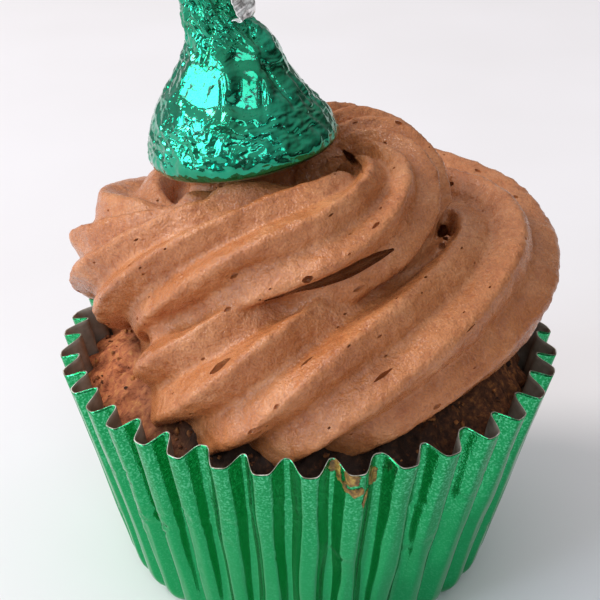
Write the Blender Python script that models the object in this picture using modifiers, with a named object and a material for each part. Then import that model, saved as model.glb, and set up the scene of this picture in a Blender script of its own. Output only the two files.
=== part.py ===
"""Chocolate cupcake in a pleated foil baking case.

Five solids, from the floor up: the pleated case, the baked sponge, the piped
frosting swirl, a foil-wrapped chocolate drop that leans on the swirl, and the
short paper flag that sticks out of the foil's twisted tip.

Run with: blender --background --python part.py
Everything below is worked out in millimetres and scaled to metres on the way
into a mesh.  +Z is up, the origin is the middle of the case's flat base, and
azimuth is measured from +X towards +Y.
"""

import math

import bmesh
import bpy
from mathutils import Matrix, Vector

MM = 0.001
GAP = 0.35                 # air between two touching pieces

# ---- baking case -----------------------------------------------------------
PLEATS = 36
PLEAT_PHASE = 154.2        # azimuth of one pleat's crest
PLEAT_DRIFT = (            # the pleats wander by this many degrees, once and twice a turn
    (1, 2.1, -1.8),
    (2, -0.8, 1.9),
)
RIM_RADIUS = 34.0          # out to the crests, at the rim
BASE_RADIUS = 25.3         # where the wall's line meets the floor
RIM_HEIGHT = 33.7          # at the valleys
CREST_DIP = 1.1            # the rim dips this much at each crest
RIM_PLEAT_DEPTH = 2.6
FOOT_PLEAT_DEPTH = 0.9
CORNER_RADIUS = 4.7        # where wall turns into base
CASE_WALL = 0.4
COLUMNS_PER_PLEAT = 6

# ---- sponge ----------------------------------------------------------------
SPONGE_CENTRE = 38.5       # height of the dome under the frosting
SPONGE_EDGE = 29.6         # height of the sponge at the case
SPONGE_TILT = 1.2          # the sponge rose higher on its +X side
SPONGE_LUMP = 0.45
SPONGE_SHRINK = 0.1        # it drew back a little from the paper as it cooled
SPONGE_BRIM = 0.88         # how far up the case's wall it reaches
DOME_SHARES = (0.94, 0.82, 0.55)

# ---- frosting --------------------------------------------------------------
LOBES = 7                  # teeth of the piping nozzle
RIDGE = 0.11               # crests stand out by this share of the rope radius
SWIRL_START = 220.0        # azimuth at which the piping starts
# Travel round the cake (degrees), rope centre radius, rope centre height,
# rope radius, and how far the rope has rolled about its own centre (degrees).
SWIRL = (
    (-60, 18.9, 35.5, 9.8, -176),
    (0, 18.5, 36.8, 9.7, -43),
    (30, 19.8, 37.9, 10.4, 28),
    (60, 21.3, 39.7, 9.4, 100),
    (90, 22.6, 43.0, 8.4, 136),
    (120, 23.9, 45.1, 8.2, 161),
    (180, 24.4, 42.8, 9.2, 211),
    (240, 23.4, 42.2, 9.4, 250),
    (300, 24.1, 42.2, 9.2, 308),
    (330, 21.4, 44.3, 8.7, 370),
    (360, 17.7, 49.0, 8.3, 437),
    (390, 15.8, 52.3, 7.4, 492),
    (420, 15.2, 54.4, 7.3, 524),
    (480, 11.1, 54.8, 7.1, 610),
    (540, 9.4, 55.4, 7.4, 735),
    (600, 8.6, 55.4, 7.2, 840),
    (660, 9.8, 55.2, 7.0, 925),
    (720, 8.6, 54.2, 5.8, 1000),
)
SWIRL_SPAN = (-14.0, 700.0)
SWIRL_PIECES = 3           # the rope is cut here so that no length meets itself
BLUNT_END = 22.0           # degrees over which each end rounds off
CORE = ((24.0, 26.0), (23.0, 35.0), (16.0, 44.0), (11.5, 50.0), (6.0, 54.0))
POINTS_PER_LOBE = 4
TURN_STEP = 9.0

# ---- foil-wrapped drop -----------------------------------------------------
DROP_FOOT = (-8.2, -2.2, 61.4)   # centre of its flat base
DROP_LEAN = 11.4                 # towards -X
DROP_NOD = 2.5                   # towards +Y
# Height above its base, radius, and how far its middle strays towards +X.
DROP_PROFILE = (
    (0.0, 11.3, 0.6), (0.5, 11.9, 0.3), (2.0, 12.1, -0.15), (3.8, 11.4, -0.45), (5.7, 10.5, -0.6),
    (7.6, 9.5, -0.6), (10.0, 8.0, -0.3), (12.1, 6.8, 0.3), (14.2, 5.6, 0.6), (16.5, 4.3, 0.1),
    (18.5, 3.6, -0.55), (20.5, 3.0, -0.9), (22.4, 2.7, -1.1), (24.0, 1.9, -1.3),
)
DROP_SIDES = 30

# ---- paper flag ------------------------------------------------------------
FLAG_WIDTH = 4.2
FLAG_LENGTH = 12.0
FLAG_THICK = 0.35
FLAG_STEPS = 14
FLAG_EXIT = 17.6           # height on the drop's neck where it comes out
FLAG_SIDE = -32.0          # azimuth of that place on the drop
NECK_REACH = 4.8           # the folds reach this far out there


def clear_scene():
    """Start from an empty scene without closing the file."""
    for item in list(bpy.data.objects):
        bpy.data.objects.remove(item, do_unlink=True)


def new_collection(name):
    group = bpy.data.collections.new(name)
    bpy.context.scene.collection.children.link(group)
    return group


def linear(hex_colour):
    """sRGB hex, such as "#1F9A55", to linear RGBA."""
    channels = [int(hex_colour[i:i + 2], 16) / 255 for i in (1, 3, 5)]
    return [c / 12.92 if c < 0.04045 else ((c + 0.055) / 1.055) ** 2.4 for c in channels] + [1.0]


def material(name, hex_colour, roughness, metallic=0.0):
    """A plain Principled material."""
    made = bpy.data.materials.new(name)
    made.use_nodes = True
    shader = made.node_tree.nodes["Principled BSDF"]
    shader.inputs["Base Color"].default_value = linear(hex_colour)
    shader.inputs["Roughness"].default_value = roughness
    shader.inputs["Metallic"].default_value = metallic
    return made


def polar(radius, azimuth, height):
    """Millimetres and degrees to a point in metres."""
    turn = math.radians(azimuth)
    return Vector((radius * math.cos(turn), radius * math.sin(turn), height)) * MM


def loft(name, rings, group, cap_last=True, peak=None):
    """Skin a row of equal rings.  A ring runs counter-clockwise seen from the
    last ring's side, so that the faces point outwards.  The last ring may be
    left open, or drawn up to a peak."""
    mesh = bpy.data.meshes.new(name)
    build = bmesh.new()
    rows = [[build.verts.new(point) for point in ring] for ring in rings]
    count = len(rows[0])
    for low, high in zip(rows, rows[1:]):
        for i in range(count):
            j = (i + 1) % count
            build.faces.new((low[i], low[j], high[j]))
            build.faces.new((low[i], high[j], high[i]))
    build.faces.new(list(reversed(rows[0])))
    if peak is not None:
        tip = build.verts.new(peak)
        for i in range(count):
            build.faces.new((rows[-1][i], rows[-1][(i + 1) % count], tip))
    elif cap_last:
        build.faces.new(rows[-1])
    build.to_mesh(mesh)
    build.free()
    made = bpy.data.objects.new(name, mesh)
    group.objects.link(made)
    return made


def smooth_table(table, place):
    """Read a table whose first column is a position, along a smooth curve
    through its rows."""
    row = 1
    while row < len(table) - 3 and table[row + 1][0] < place:
        row += 1
    before, start, end, after = table[row - 1:row + 3]
    span = end[0] - start[0]
    share = (place - start[0]) / span
    result = []
    for a, b, c, d in zip(before[1:], start[1:], end[1:], after[1:]):
        leave = (c - a) * span / (end[0] - before[0])
        arrive = (d - b) * span / (after[0] - start[0])
        value = b + leave * share + (3 * (c - b) - 2 * leave - arrive) * share ** 2
        result.append(value + (2 * (b - c) + leave + arrive) * share ** 3)
    return result


# ---- baking case -----------------------------------------------------------

def pleat_azimuth(place):
    """Azimuth of pleat number `place`, which may be a fraction; whole numbers
    are crests and halves are valleys."""
    even = PLEAT_PHASE + place * 360.0 / PLEATS
    drift = 0.0
    for cycles, sine, cosine in PLEAT_DRIFT:
        turn = math.radians(cycles * even)
        drift += sine * math.sin(turn) + cosine * math.cos(turn)
    return even + drift


def pleat_wave(place):
    """1 on a crest, 0 in a valley, with broad crests and tight valleys."""
    return (0.5 + 0.5 * math.cos(2 * math.pi * place)) ** 0.7


def case_wall(share):
    """Crest radius, height, pleat depth and steepness (degrees) at a share of
    the way up the wall's profile: base, rounded corner, straight wall."""
    slope = math.atan2(RIM_HEIGHT, RIM_RADIUS - BASE_RADIUS)
    inset = CORNER_RADIUS * math.tan(slope / 2)
    if share < 0.3:
        turn = slope * share / 0.3
        radius = BASE_RADIUS - inset + CORNER_RADIUS * math.sin(turn)
        height = CORNER_RADIUS * (1 - math.cos(turn))
        depth = FOOT_PLEAT_DEPTH * (share / 0.3)
        return radius, height, depth, turn
    low_radius = BASE_RADIUS + inset * math.cos(slope)
    low_height = inset * math.sin(slope)
    along = (share - 0.3) / 0.7
    radius = low_radius + (RIM_RADIUS - low_radius) * along
    height = low_height + (RIM_HEIGHT - low_height) * along
    depth = FOOT_PLEAT_DEPTH + (RIM_PLEAT_DEPTH - FOOT_PLEAT_DEPTH) * along
    return radius, height, depth, slope


def case_point(share, place, inwards=0.0):
    """A point of the case's outer face, or one set `inwards` of it."""
    radius, height, depth, turn = case_wall(share)
    wave = pleat_wave(place)
    radius -= depth * (1 - wave) + inwards * math.sin(turn)
    height += inwards * math.cos(turn)
    height -= CREST_DIP * wave * max(0.0, (share - 0.3) / 0.7) ** 3
    return polar(radius, pleat_azimuth(place), height)


def make_case(group):
    """The pleated skin is lofted open at the top, then given its thickness."""
    columns = PLEATS * COLUMNS_PER_PLEAT
    shares = (0.0, 0.15, 0.3, 0.8, 1.0)
    rings = [[case_point(s, c / COLUMNS_PER_PLEAT) for c in range(columns)] for s in shares]
    case = loft("baking_case", rings, group, cap_last=False)
    shell = case.modifiers.new("foil paper", "SOLIDIFY")
    shell.thickness = CASE_WALL * MM
    shell.offset = -1.0
    case.data.materials.append(material("green foil paper", "#1F9A55", 0.4, 0.6))
    return case


# ---- sponge ----------------------------------------------------------------

def sponge_top(x, y):
    """Height of the risen, cracked dome above a place on the floor."""
    radius = math.hypot(x, y)
    fall = (SPONGE_CENTRE - SPONGE_EDGE) * (radius / 31.0) ** 2.2
    lumps = math.sin(0.9 * x + 1.3) * math.sin(0.8 * y + 0.4) + 0.6 * math.sin(1.7 * x - 1.4 * y)
    return SPONGE_CENTRE - fall + SPONGE_TILT * x / 31.0 + SPONGE_LUMP * lumps


def sponge_brim():
    """The line where the dome meets the case, a point for each crest and valley."""
    inwards = CASE_WALL + GAP + SPONGE_SHRINK
    return [case_point(SPONGE_BRIM, c / 2, inwards) for c in range(2 * PLEATS)]


def dome_rings(lift):
    """Rings of the dome from the brim inwards, all raised by `lift`."""
    brim = sponge_brim()
    rings = [[point + Vector((0, 0, lift)) * MM for point in brim]]
    for share in DOME_SHARES:
        ring = []
        for point in brim:
            x = point.x / MM * share
            y = point.y / MM * share
            ring.append(Vector((x, y, sponge_top(x, y) + lift)) * MM)
        rings.append(ring)
    return rings


def dome_peak(lift):
    return Vector((0, 0, sponge_top(0, 0) + lift)) * MM


def make_sponge(group):
    """Batter filled the pleats, so the side is fluted like the case inside."""
    inwards = CASE_WALL + GAP + SPONGE_SHRINK
    side = []
    for share in (0.0, 0.15, 0.3, 0.6):
        side.append([case_point(share, c / 2, inwards) for c in range(2 * PLEATS)])
    sponge = loft("sponge", side + dome_rings(0.0), group, peak=dome_peak(0.0))
    sponge.data.materials.append(material("chocolate sponge", "#3A2418", 0.9))
    return sponge


# ---- frosting --------------------------------------------------------------

def rope_ring(travel):
    """One star-shaped section of the piped rope, in the plane through the
    cake's axis.  The star rolls as the rope travels, which slants the ridges."""
    centre, height, radius, roll = smooth_table(SWIRL, travel)
    from_end = min(travel - SWIRL_SPAN[0], SWIRL_SPAN[1] - travel) / BLUNT_END
    radius *= math.sqrt(1 - (1 - min(max(from_end, 0.03), 1.0)) ** 2)
    ring = []
    count = LOBES * POINTS_PER_LOBE
    for i in range(count):
        star = math.cos(2 * math.pi * i / POINTS_PER_LOBE)
        angle = math.radians(roll + 360.0 * i / count)
        reach = radius * (1 + RIDGE * star)
        out = centre + reach * math.cos(angle)
        ring.append(polar(out, SWIRL_START + travel, height + reach * math.sin(angle)))
    return ring


def make_rope(group, first, last):
    steps = max(2, round((last - first) / TURN_STEP))
    rings = [rope_ring(first + (last - first) * k / steps) for k in range(steps + 1)]
    return loft("rope", [list(reversed(ring)) for ring in rings], group)


def turned(name, profile, group, sides=40):
    """A solid turned from (radius, height) pairs, bottom to top."""
    rings = [[polar(r, 360.0 * i / sides, h) for i in range(sides)] for r, h in profile]
    return loft(name, rings, group)


def make_bed_cutter(group):
    """The sponge's dome raised by the gap, and everything under it."""
    dome = dome_rings(GAP)
    skirt = [Vector((point.x * 1.4, point.y * 1.4, point.z)) for point in dome[0]]
    floor = [Vector((point.x, point.y, 10.0 * MM)) for point in skirt]
    return loft("bed", [floor, skirt] + dome, group, peak=dome_peak(GAP))


def boolean(target, operation, other=None, collection=None):
    """Apply one Boolean to a mesh object."""
    step = target.modifiers.new(operation.lower(), "BOOLEAN")
    step.operation = operation
    step.solver = "EXACT"
    if collection is not None:
        step.operand_type = "COLLECTION"
        step.collection = collection
    else:
        step.object = other
    bpy.context.view_layer.update()
    graph = bpy.context.evaluated_depsgraph_get()
    mesh = bpy.data.meshes.new_from_object(target.evaluated_get(graph))
    target.modifiers.clear()
    target.data = mesh


def keep_main_body(target):
    """Drop loose scraps and the skins of sealed hollows, which fills them."""
    build = bmesh.new()
    build.from_mesh(target.data)
    left = set(build.verts)
    islands = []
    while left:
        front = [left.pop()]
        island = set(front)
        while front:
            for edge in front.pop().link_edges:
                for vert in edge.verts:
                    if vert in left:
                        left.remove(vert)
                        island.add(vert)
                        front.append(vert)
        islands.append(island)
    islands.sort(key=len)
    for island in islands[:-1]:
        bmesh.ops.delete(build, geom=list(island), context="VERTS")
    build.to_mesh(target.data)
    build.free()


def make_frosting(group, cutters, drop_cutter):
    """Union of the rope's lengths and a core, sat on the sponge and dented by
    the drop that was pressed into it."""
    first, last = SWIRL_SPAN
    reach = (last - first) / SWIRL_PIECES
    lap = 3.0
    pieces = new_collection("frosting pieces")
    for k in range(SWIRL_PIECES):
        start = first + k * reach - (lap if k else 0.0)
        make_rope(pieces, start, first + (k + 1) * reach)
    frosting = turned("frosting", CORE, group)
    boolean(frosting, "UNION", collection=pieces)
    for piece in list(pieces.objects):
        bpy.data.objects.remove(piece, do_unlink=True)
    bpy.data.collections.remove(pieces)
    boolean(frosting, "DIFFERENCE", other=make_bed_cutter(cutters))
    boolean(frosting, "DIFFERENCE", other=drop_cutter)
    keep_main_body(frosting)
    frosting.data.materials.clear()
    frosting.data.materials.append(material("chocolate frosting", "#B97B57", 0.55))
    return frosting


# ---- foil-wrapped drop -----------------------------------------------------

def drop_place():
    """Where the drop stands and how it leans."""
    lean = Matrix.Rotation(math.radians(-DROP_LEAN), 4, "Y")
    nod = Matrix.Rotation(math.radians(-DROP_NOD), 4, "X")
    return Matrix.Translation(Vector(DROP_FOOT) * MM) @ lean @ nod


def make_drop(name, group, grow=0.0):
    """A bell with a gathered neck: the foil's folds swell towards the tip."""
    rings = []
    top = DROP_PROFILE[-1][0]
    for height, radius, sway in DROP_PROFILE:
        folds = 0.10 * (height / top) ** 2
        ring = []
        for i in range(DROP_SIDES):
            angle = 360.0 * i / DROP_SIDES
            turn = math.radians(angle)
            wave = math.cos(3 * turn + 0.4) + 0.5 * math.cos(5 * turn + 2.0)
            point = polar(radius * (1 + folds * wave) + grow, angle, 0)
            shift = grow if height == top else (-grow if height == 0.0 else 0.0)
            ring.append(point + Vector((sway, 0, height + shift)) * MM)
        rings.append(ring)
    drop = loft(name, rings, group)
    drop.matrix_world = drop_place()
    return drop


# ---- paper flag ------------------------------------------------------------

def make_flag(group):
    """A crumpled strip: a narrow ribbon that leaves the foil beside its tip,
    rises and waves."""
    mesh = bpy.data.meshes.new("paper_flag")
    build = bmesh.new()
    rows = []
    x = 0.0
    z = 0.0
    for k in range(FLAG_STEPS + 1):
        share = k / FLAG_STEPS
        heading = math.radians(80 - 60 * share + 38 * math.sin(9 * share))
        if k:
            x += math.cos(heading) * FLAG_LENGTH / FLAG_STEPS
            z += math.sin(heading) * FLAG_LENGTH / FLAG_STEPS
        half = FLAG_WIDTH / 2 * (0.8 + 0.2 * min(1.0, share * 3))
        curl = 0.5 * math.sin(7 * share)
        across = [Vector((x, side * half, z + curl * side)) * MM for side in (-1, 0, 1)]
        rows.append([build.verts.new(point) for point in across])
    for low, high in zip(rows, rows[1:]):
        for i in range(2):
            build.faces.new((low[i], high[i], high[i + 1], low[i + 1]))
    build.to_mesh(mesh)
    build.free()
    flag = bpy.data.objects.new("paper_flag", mesh)
    group.objects.link(flag)
    _, sway = smooth_table(DROP_PROFILE, FLAG_EXIT)
    middle = Matrix.Translation(Vector((sway, 0, FLAG_EXIT)) * MM)
    side = Matrix.Rotation(math.radians(FLAG_SIDE), 4, "Z")
    outwards = Vector((NECK_REACH + GAP + FLAG_THICK / 2, 0, 0)) * MM
    flag.matrix_world = drop_place() @ middle @ side @ Matrix.Translation(outwards)
    paper = flag.modifiers.new("paper", "SOLIDIFY")
    paper.thickness = FLAG_THICK * MM
    paper.offset = 0.0
    flag.data.materials.append(material("white paper", "#E6E6E2", 0.6))
    return flag


def main():
    clear_scene()
    cake = new_collection("chocolate cupcake")
    cutters = new_collection("cutters")
    pieces = [make_case(cake), make_sponge(cake)]
    drop = make_drop("foil_drop", cake)
    drop.data.materials.append(material("green foil", "#0A9A6A", 0.2, 1.0))
    drop_cutter = make_drop("drop clearance", cutters, GAP)
    pieces += [drop, make_frosting(cake, cutters, drop_cutter), make_flag(cake)]
    for cutter in cutters.objects:
        cutter.hide_render = True
        cutter.display_type = "WIRE"
    for piece in pieces:
        piece.data.shade_smooth()
        piece.data.set_sharp_from_angle(angle=math.radians(40))
        print(piece.name, len(piece.data.polygons))


main()
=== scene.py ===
# %% [markdown]
# # The looks of a chocolate cupcake
# The solids of the cake come in at their true size: a pleated case, a sponge, a piped swirl, a
# foil-wrapped drop and a paper flag.  Each one is good for weighing and stacking, but plain.  This
# lesson builds the fine surface over each solid: first the shape in mesh code, then its finish in
# shader nodes.  All sizes are in millimetres until a mesh is made, because a cook and a printer of
# baking cases both think in millimetres.

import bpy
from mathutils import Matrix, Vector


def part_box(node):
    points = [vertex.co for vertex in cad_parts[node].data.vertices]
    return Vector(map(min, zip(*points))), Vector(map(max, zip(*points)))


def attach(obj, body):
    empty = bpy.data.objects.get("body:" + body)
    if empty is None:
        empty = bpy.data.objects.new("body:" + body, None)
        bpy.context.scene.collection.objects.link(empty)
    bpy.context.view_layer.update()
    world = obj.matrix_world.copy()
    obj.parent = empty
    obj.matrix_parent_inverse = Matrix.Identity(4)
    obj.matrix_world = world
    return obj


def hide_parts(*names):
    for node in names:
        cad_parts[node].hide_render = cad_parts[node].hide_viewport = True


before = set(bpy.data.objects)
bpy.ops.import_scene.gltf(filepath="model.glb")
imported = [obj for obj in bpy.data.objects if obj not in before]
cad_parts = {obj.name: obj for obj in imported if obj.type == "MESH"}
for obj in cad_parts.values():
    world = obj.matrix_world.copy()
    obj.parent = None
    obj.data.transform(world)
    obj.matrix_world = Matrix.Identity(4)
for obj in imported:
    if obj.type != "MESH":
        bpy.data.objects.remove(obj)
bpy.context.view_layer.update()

# %% Modules and the unit
import itertools
import math

import bmesh
import bpy
import numpy as np
from mathutils import Matrix, Vector
from mathutils.bvhtree import BVHTree
from mathutils.kdtree import KDTree

MM = 0.001
print("nodes to dress:", sorted(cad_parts))

# %% [markdown]
# ## The camera
# The cake was photographed from close by and from above the rim, so the rim is a wide ellipse and
# the case narrows quickly towards the floor.  A camera could be placed by hand until it looks
# right; here its distance and height were worked out from the rim's ellipse and are kept as
# sizes.  The same numbers give the line of sight through any pixel of the 600 x 600 picture,
# which is used later to place marks where they were seen.

# %% Camera
VIEW_DISTANCE = 200.0
VIEW_HEIGHT = math.radians(27.6)       # angle above the floor
VIEW_ROLL = math.radians(-0.23)
VIEW_AIM = Vector((-1.16, 0.0, 38.61))
VIEW_PIXELS = 1466.6                   # focal length, in pixels of the picture
PICTURE = 600.0


def add_object(name, data):
    """Put a camera, a mesh or a lamp into the scene."""
    made = bpy.data.objects.new(name, data)
    bpy.context.scene.collection.objects.link(made)
    return made


def place_camera():
    """The camera stands back from its aim and looks along +Y and down."""
    back = Vector((0.0, -math.cos(VIEW_HEIGHT), math.sin(VIEW_HEIGHT)))
    right = Vector((1.0, 0.0, 0.0))
    turn = Matrix((right, back.cross(right), back)).transposed()
    turn = turn @ Matrix.Rotation(-VIEW_ROLL, 3, "Z")
    lens = bpy.data.cameras.new("view")
    lens.sensor_width = 36.0
    lens.lens = VIEW_PIXELS / PICTURE * lens.sensor_width
    lens.clip_start = 0.01
    made = add_object("view", lens)
    made.matrix_world = Matrix.Translation((VIEW_AIM + back * VIEW_DISTANCE) * MM) @ turn.to_4x4()
    return made


camera = place_camera()
bpy.context.scene.camera = camera


def line_of_sight(across, down):
    """Where a pixel's line starts and which way it runs, in metres."""
    middle = PICTURE / 2
    ray = Vector((across - middle, middle - down, -VIEW_PIXELS))
    return camera.matrix_world.translation, (camera.matrix_world.to_3x3() @ ray).normalized()


print("camera at", [round(c / MM) for c in camera.matrix_world.translation], "mm")

# %% [markdown]
# ## Noise for thousands of points at once
# Real frosting, crumb and foil are uneven.  Blender's own noise works one point at a time, which
# is slow on a hundred thousand vertices, so short numpy functions read every vertex in one go.
# `lumps` gives soft swellings, `rough` adds finer ones to it, and `crumple` gives the flat facets
# and sharp creases of foil by adding zigzags that run in many directions.  `ramp` and `eased`
# fade such relief in and out.

# %% Noise and fades
def ramp(value, low, high):
    """0 up to `low`, 1 from `high` on and a straight line between."""
    return np.clip((value - low) / (high - low), 0.0, 1.0)


def eased(share):
    """A share from 0 to 1 that starts and ends softly."""
    return share * share * (3.0 - 2.0 * share)


def corner_values(cells, seed):
    """A repeatable number from -1 to 1 for each corner of a cubic lattice: large odd factors and
    shifts stir a corner's three whole numbers into one."""
    x, y, z = (cells[:, k].astype(np.uint32) for k in range(3))
    mixed = x * np.uint32(73856093) ^ y * np.uint32(19349663) ^ z * np.uint32(83492791)
    mixed ^= np.uint32(seed * 7919 + 1)
    mixed = (mixed ^ (mixed >> 15)) * np.uint32(2246822519)
    mixed = (mixed ^ (mixed >> 13)) * np.uint32(3266489917)
    return (mixed ^ (mixed >> 16)) / 2.0 ** 31 - 1.0


def lumps(points, size, seed):
    """Soft swellings, -1 to 1, about `size` across; size may differ by axis."""
    place = points / size
    cell = np.floor(place).astype(np.int64)
    ease = eased(place - cell)
    total = np.zeros(len(points))
    for corner in itertools.product((0, 1), repeat=3):
        near = np.where(corner, ease, 1.0 - ease).prod(axis=1)
        total += near * corner_values(cell + np.array(corner), seed)
    return total


def rough(points, size, seed, layers=3):
    """Swellings with finer ones on them, each layer half as large and half as high."""
    return sum(lumps(points, size / 2 ** k, seed + k) / 2 ** k for k in range(layers))


def crumple(points, size, seed, folds=6):
    """Flat facets between sharp creases, -1 to 1."""
    pick = np.random.default_rng(seed)
    ways = pick.normal(size=(folds, 3))
    ways /= np.linalg.norm(ways, axis=1)[:, None]
    total = np.zeros(len(points))
    for way, offset, width in zip(ways, pick.random(folds), pick.uniform(0.7, 1.6, folds)):
        total += np.abs((points @ way / (size * width) + offset) % 1.0 - 0.5) * 4.0 - 1.0
    return total / folds


print("noise, first three lumps:", lumps(np.eye(3) * 7.3, 2.0, 1).round(3))

# %% [markdown]
# ## From arrays to meshes
# Most surfaces here are grids: rings of points, one above another.  The points are worked out as
# one numpy array, and these helpers turn rows and columns into quads, close the ends, make the
# object, and read its points and normals back so that relief can be pushed in or out.

# %% Mesh helpers
def circle(sides):
    """Angles evenly round a circle."""
    return np.arange(sides) * 2 * np.pi / sides


def grid_quads(rows, columns, closed=True):
    """Quads between rows of points; closed rows join their last point to their first."""
    row, column = np.meshgrid(np.arange(rows - 1), np.arange(columns - (not closed)), indexing="ij")
    here = row * columns + column
    beside = row * columns + (column + 1) % columns
    return np.stack([here, beside, beside + columns, here + columns], -1).reshape(-1, 4)


def closed_tube(rings):
    """Points and faces of a tube of rings; each end is a fan round a middle point."""
    count, sides = rings.shape[:2]
    points = np.concatenate([rings.reshape(-1, 3), rings[0].mean(0)[None], rings[-1].mean(0)[None]])
    faces = grid_quads(count, sides).tolist()
    last = (count - 1) * sides
    for side in range(sides):
        beside = (side + 1) % sides
        faces += [(beside, side, last + sides), (last + side, last + beside, last + sides + 1)]
    return points, faces


def joined(parts):
    """One set of points and faces from several."""
    points, faces, count = [], [], 0
    for part_points, part_faces in parts:
        faces += [[corner + count for corner in face] for face in part_faces]
        points.append(part_points)
        count += len(part_points)
    return np.concatenate(points), faces


def add_mesh(name, points, faces, materials=()):
    """A smooth-shaded mesh object from points in millimetres."""
    mesh = bpy.data.meshes.new(name)
    mesh.from_pydata((np.asarray(points) * MM).tolist(), [], [list(face) for face in faces])
    mesh.shade_smooth()
    for finish in materials:
        mesh.materials.append(finish)
    return add_object(name, mesh)


def read_points(mesh, normals=False):
    """A mesh's points in millimetres, or its normals."""
    source = mesh.vertex_normals if normals else mesh.vertices
    flat = np.empty(len(source) * 3, np.float32)
    source.foreach_get("vector" if normals else "co", flat)
    return flat.reshape(-1, 3).astype(float) * (1.0 if normals else 1.0 / MM)


def write_points(mesh, points):
    """Move a mesh's points to these places in millimetres."""
    mesh.vertices.foreach_set("co", (points * MM).astype(np.float32).ravel())
    mesh.update()


def push_out(mesh, heights):
    """Move each point along its normal."""
    write_points(mesh, read_points(mesh) + read_points(mesh, normals=True) * heights[:, None])


def modify(piece, kind, **settings):
    """Run one modifier and keep what it makes as the piece's own mesh."""
    step = piece.modifiers.new(kind, kind)
    for name, value in settings.items():
        setattr(step, name, value)
    graph = bpy.context.evaluated_depsgraph_get()
    mesh = bpy.data.meshes.new_from_object(piece.evaluated_get(graph))
    piece.modifiers.clear()
    piece.data = mesh
    return mesh


def cut(piece, cutter):
    """Take the cutter's shape out of the piece, and remove the cutter."""
    modify(piece, "BOOLEAN", operation="DIFFERENCE", solver="MANIFOLD", object=cutter)
    bpy.data.objects.remove(cutter, do_unlink=True)


def dress(piece, slot, *nodes):
    """The piece stands for these nodes and rides on the cake; the slot is not used."""
    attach(piece, "root")
    if nodes:
        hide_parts(*nodes)
    print(piece.name, len(piece.data.polygons), "faces")


def face_tree(piece):
    """The piece's faces, ready to be met by lines."""
    faces = [face.vertices[:] for face in piece.data.polygons]
    return BVHTree.FromPolygons([point.co[:] for point in piece.data.vertices], faces)


def seen_on(tree, across, down):
    """Where a pixel's line meets the faces, the normal there and a pixel's size there, all in
    millimetres."""
    hit, normal, _, distance = tree.ray_cast(*line_of_sight(across, down))
    return np.array(hit) / MM, np.array(normal), distance / MM / VIEW_PIXELS


print("a band between two rings of 36 points has", len(grid_quads(2, 36)), "quads")


# %% [markdown]
# ## Helpers for finishes
# Colours are written as sRGB hex, the way a paint or print maker gives them, and one function
# turns them linear.  One small function adds any node with its settings and links and hands back
# the output that is wanted, so that a finish reads as a short list of what lies on what.  The
# plainest finishes differ in their numbers alone: one noise mottles the tone and roughens the
# face, so they share one recipe.

# %% Material helpers
def colour(code):
    """sRGB hex to the linear colour that Blender works in."""
    channels = [int(code[i:i + 2], 16) / 255 for i in (1, 3, 5)]
    return [c / 12.92 if c < 0.04045 else ((c + 0.055) / 1.055) ** 2.4 for c in channels] + [1.0]


def add_node(tree, kind, output, links=None, sockets=None, stops=(), **settings):
    """Add a node and give back one of its outputs.  Links and sockets map its inputs to other
    nodes' outputs and to values; stops are a ramp's places and hex colours."""
    made = tree.nodes.new("ShaderNode" + kind)
    for name, value in settings.items():
        setattr(made, name, value)
    for name, value in (sockets or {}).items():
        made.inputs[name].default_value = value
    for name, source in (links or {}).items():
        tree.links.new(source, made.inputs[name])
    for extra in stops[2:]:
        made.color_ramp.elements.new(extra[0])
    for number, (place, code) in enumerate(stops):
        made.color_ramp.elements[number].position = place
        made.color_ramp.elements[number].color = colour(code)
    return made.outputs[output]


def new_finish(name, sockets):
    """A material with its shader's constants set, its node tree and where points lie on it."""
    made = bpy.data.materials.new(name)
    made.use_nodes = True
    for socket, value in sockets.items():
        made.node_tree.nodes["Principled BSDF"].inputs[socket].default_value = value
    return made, made.node_tree, add_node(made.node_tree, "TexCoord", "Object")


def finish_with(tree, **outputs):
    """Join outputs to the shader; Base_Color stands for the input Base Color."""
    shader = tree.nodes["Principled BSDF"]
    for name, output in outputs.items():
        tree.links.new(output, shader.inputs[name.replace("_", " ")])


def per_mm(size):
    """The noise scale whose lumps are `size` millimetres across, for points in metres."""
    return 1.0 / (size * MM)


def mottled_finish(name, sockets, noise, stops, relief=None):
    """A finish whose one noise gives its tone between the stops and, if asked for, its relief."""
    made, tree, where = new_finish(name, sockets)
    patch = add_node(tree, "TexNoise", "Fac", {"Vector": where}, noise)
    finish_with(tree, Base_Color=add_node(tree, "ValToRGB", "Color", {"Fac": patch}, stops=stops))
    if relief:
        finish_with(tree, Normal=add_node(tree, "Bump", "Normal", {"Height": patch}, relief))
    return made


print("mid grey #808080 is", round(colour("#808080")[0], 3), "linear")

# %% [markdown]
# ## The baking case: its folds
# A baking case is a disc of paper pressed between two fluted rings, so its wall is one sheet
# folded into pleats: broad outer crests, tight inner valleys and flat flanks between.  It could be
# a cone with a wave modifier, but the folds have to lie where they lie on the solid, so the same
# rule is used: a pleat number, `place`, runs round the rim, and `share` runs up the wall.

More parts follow.
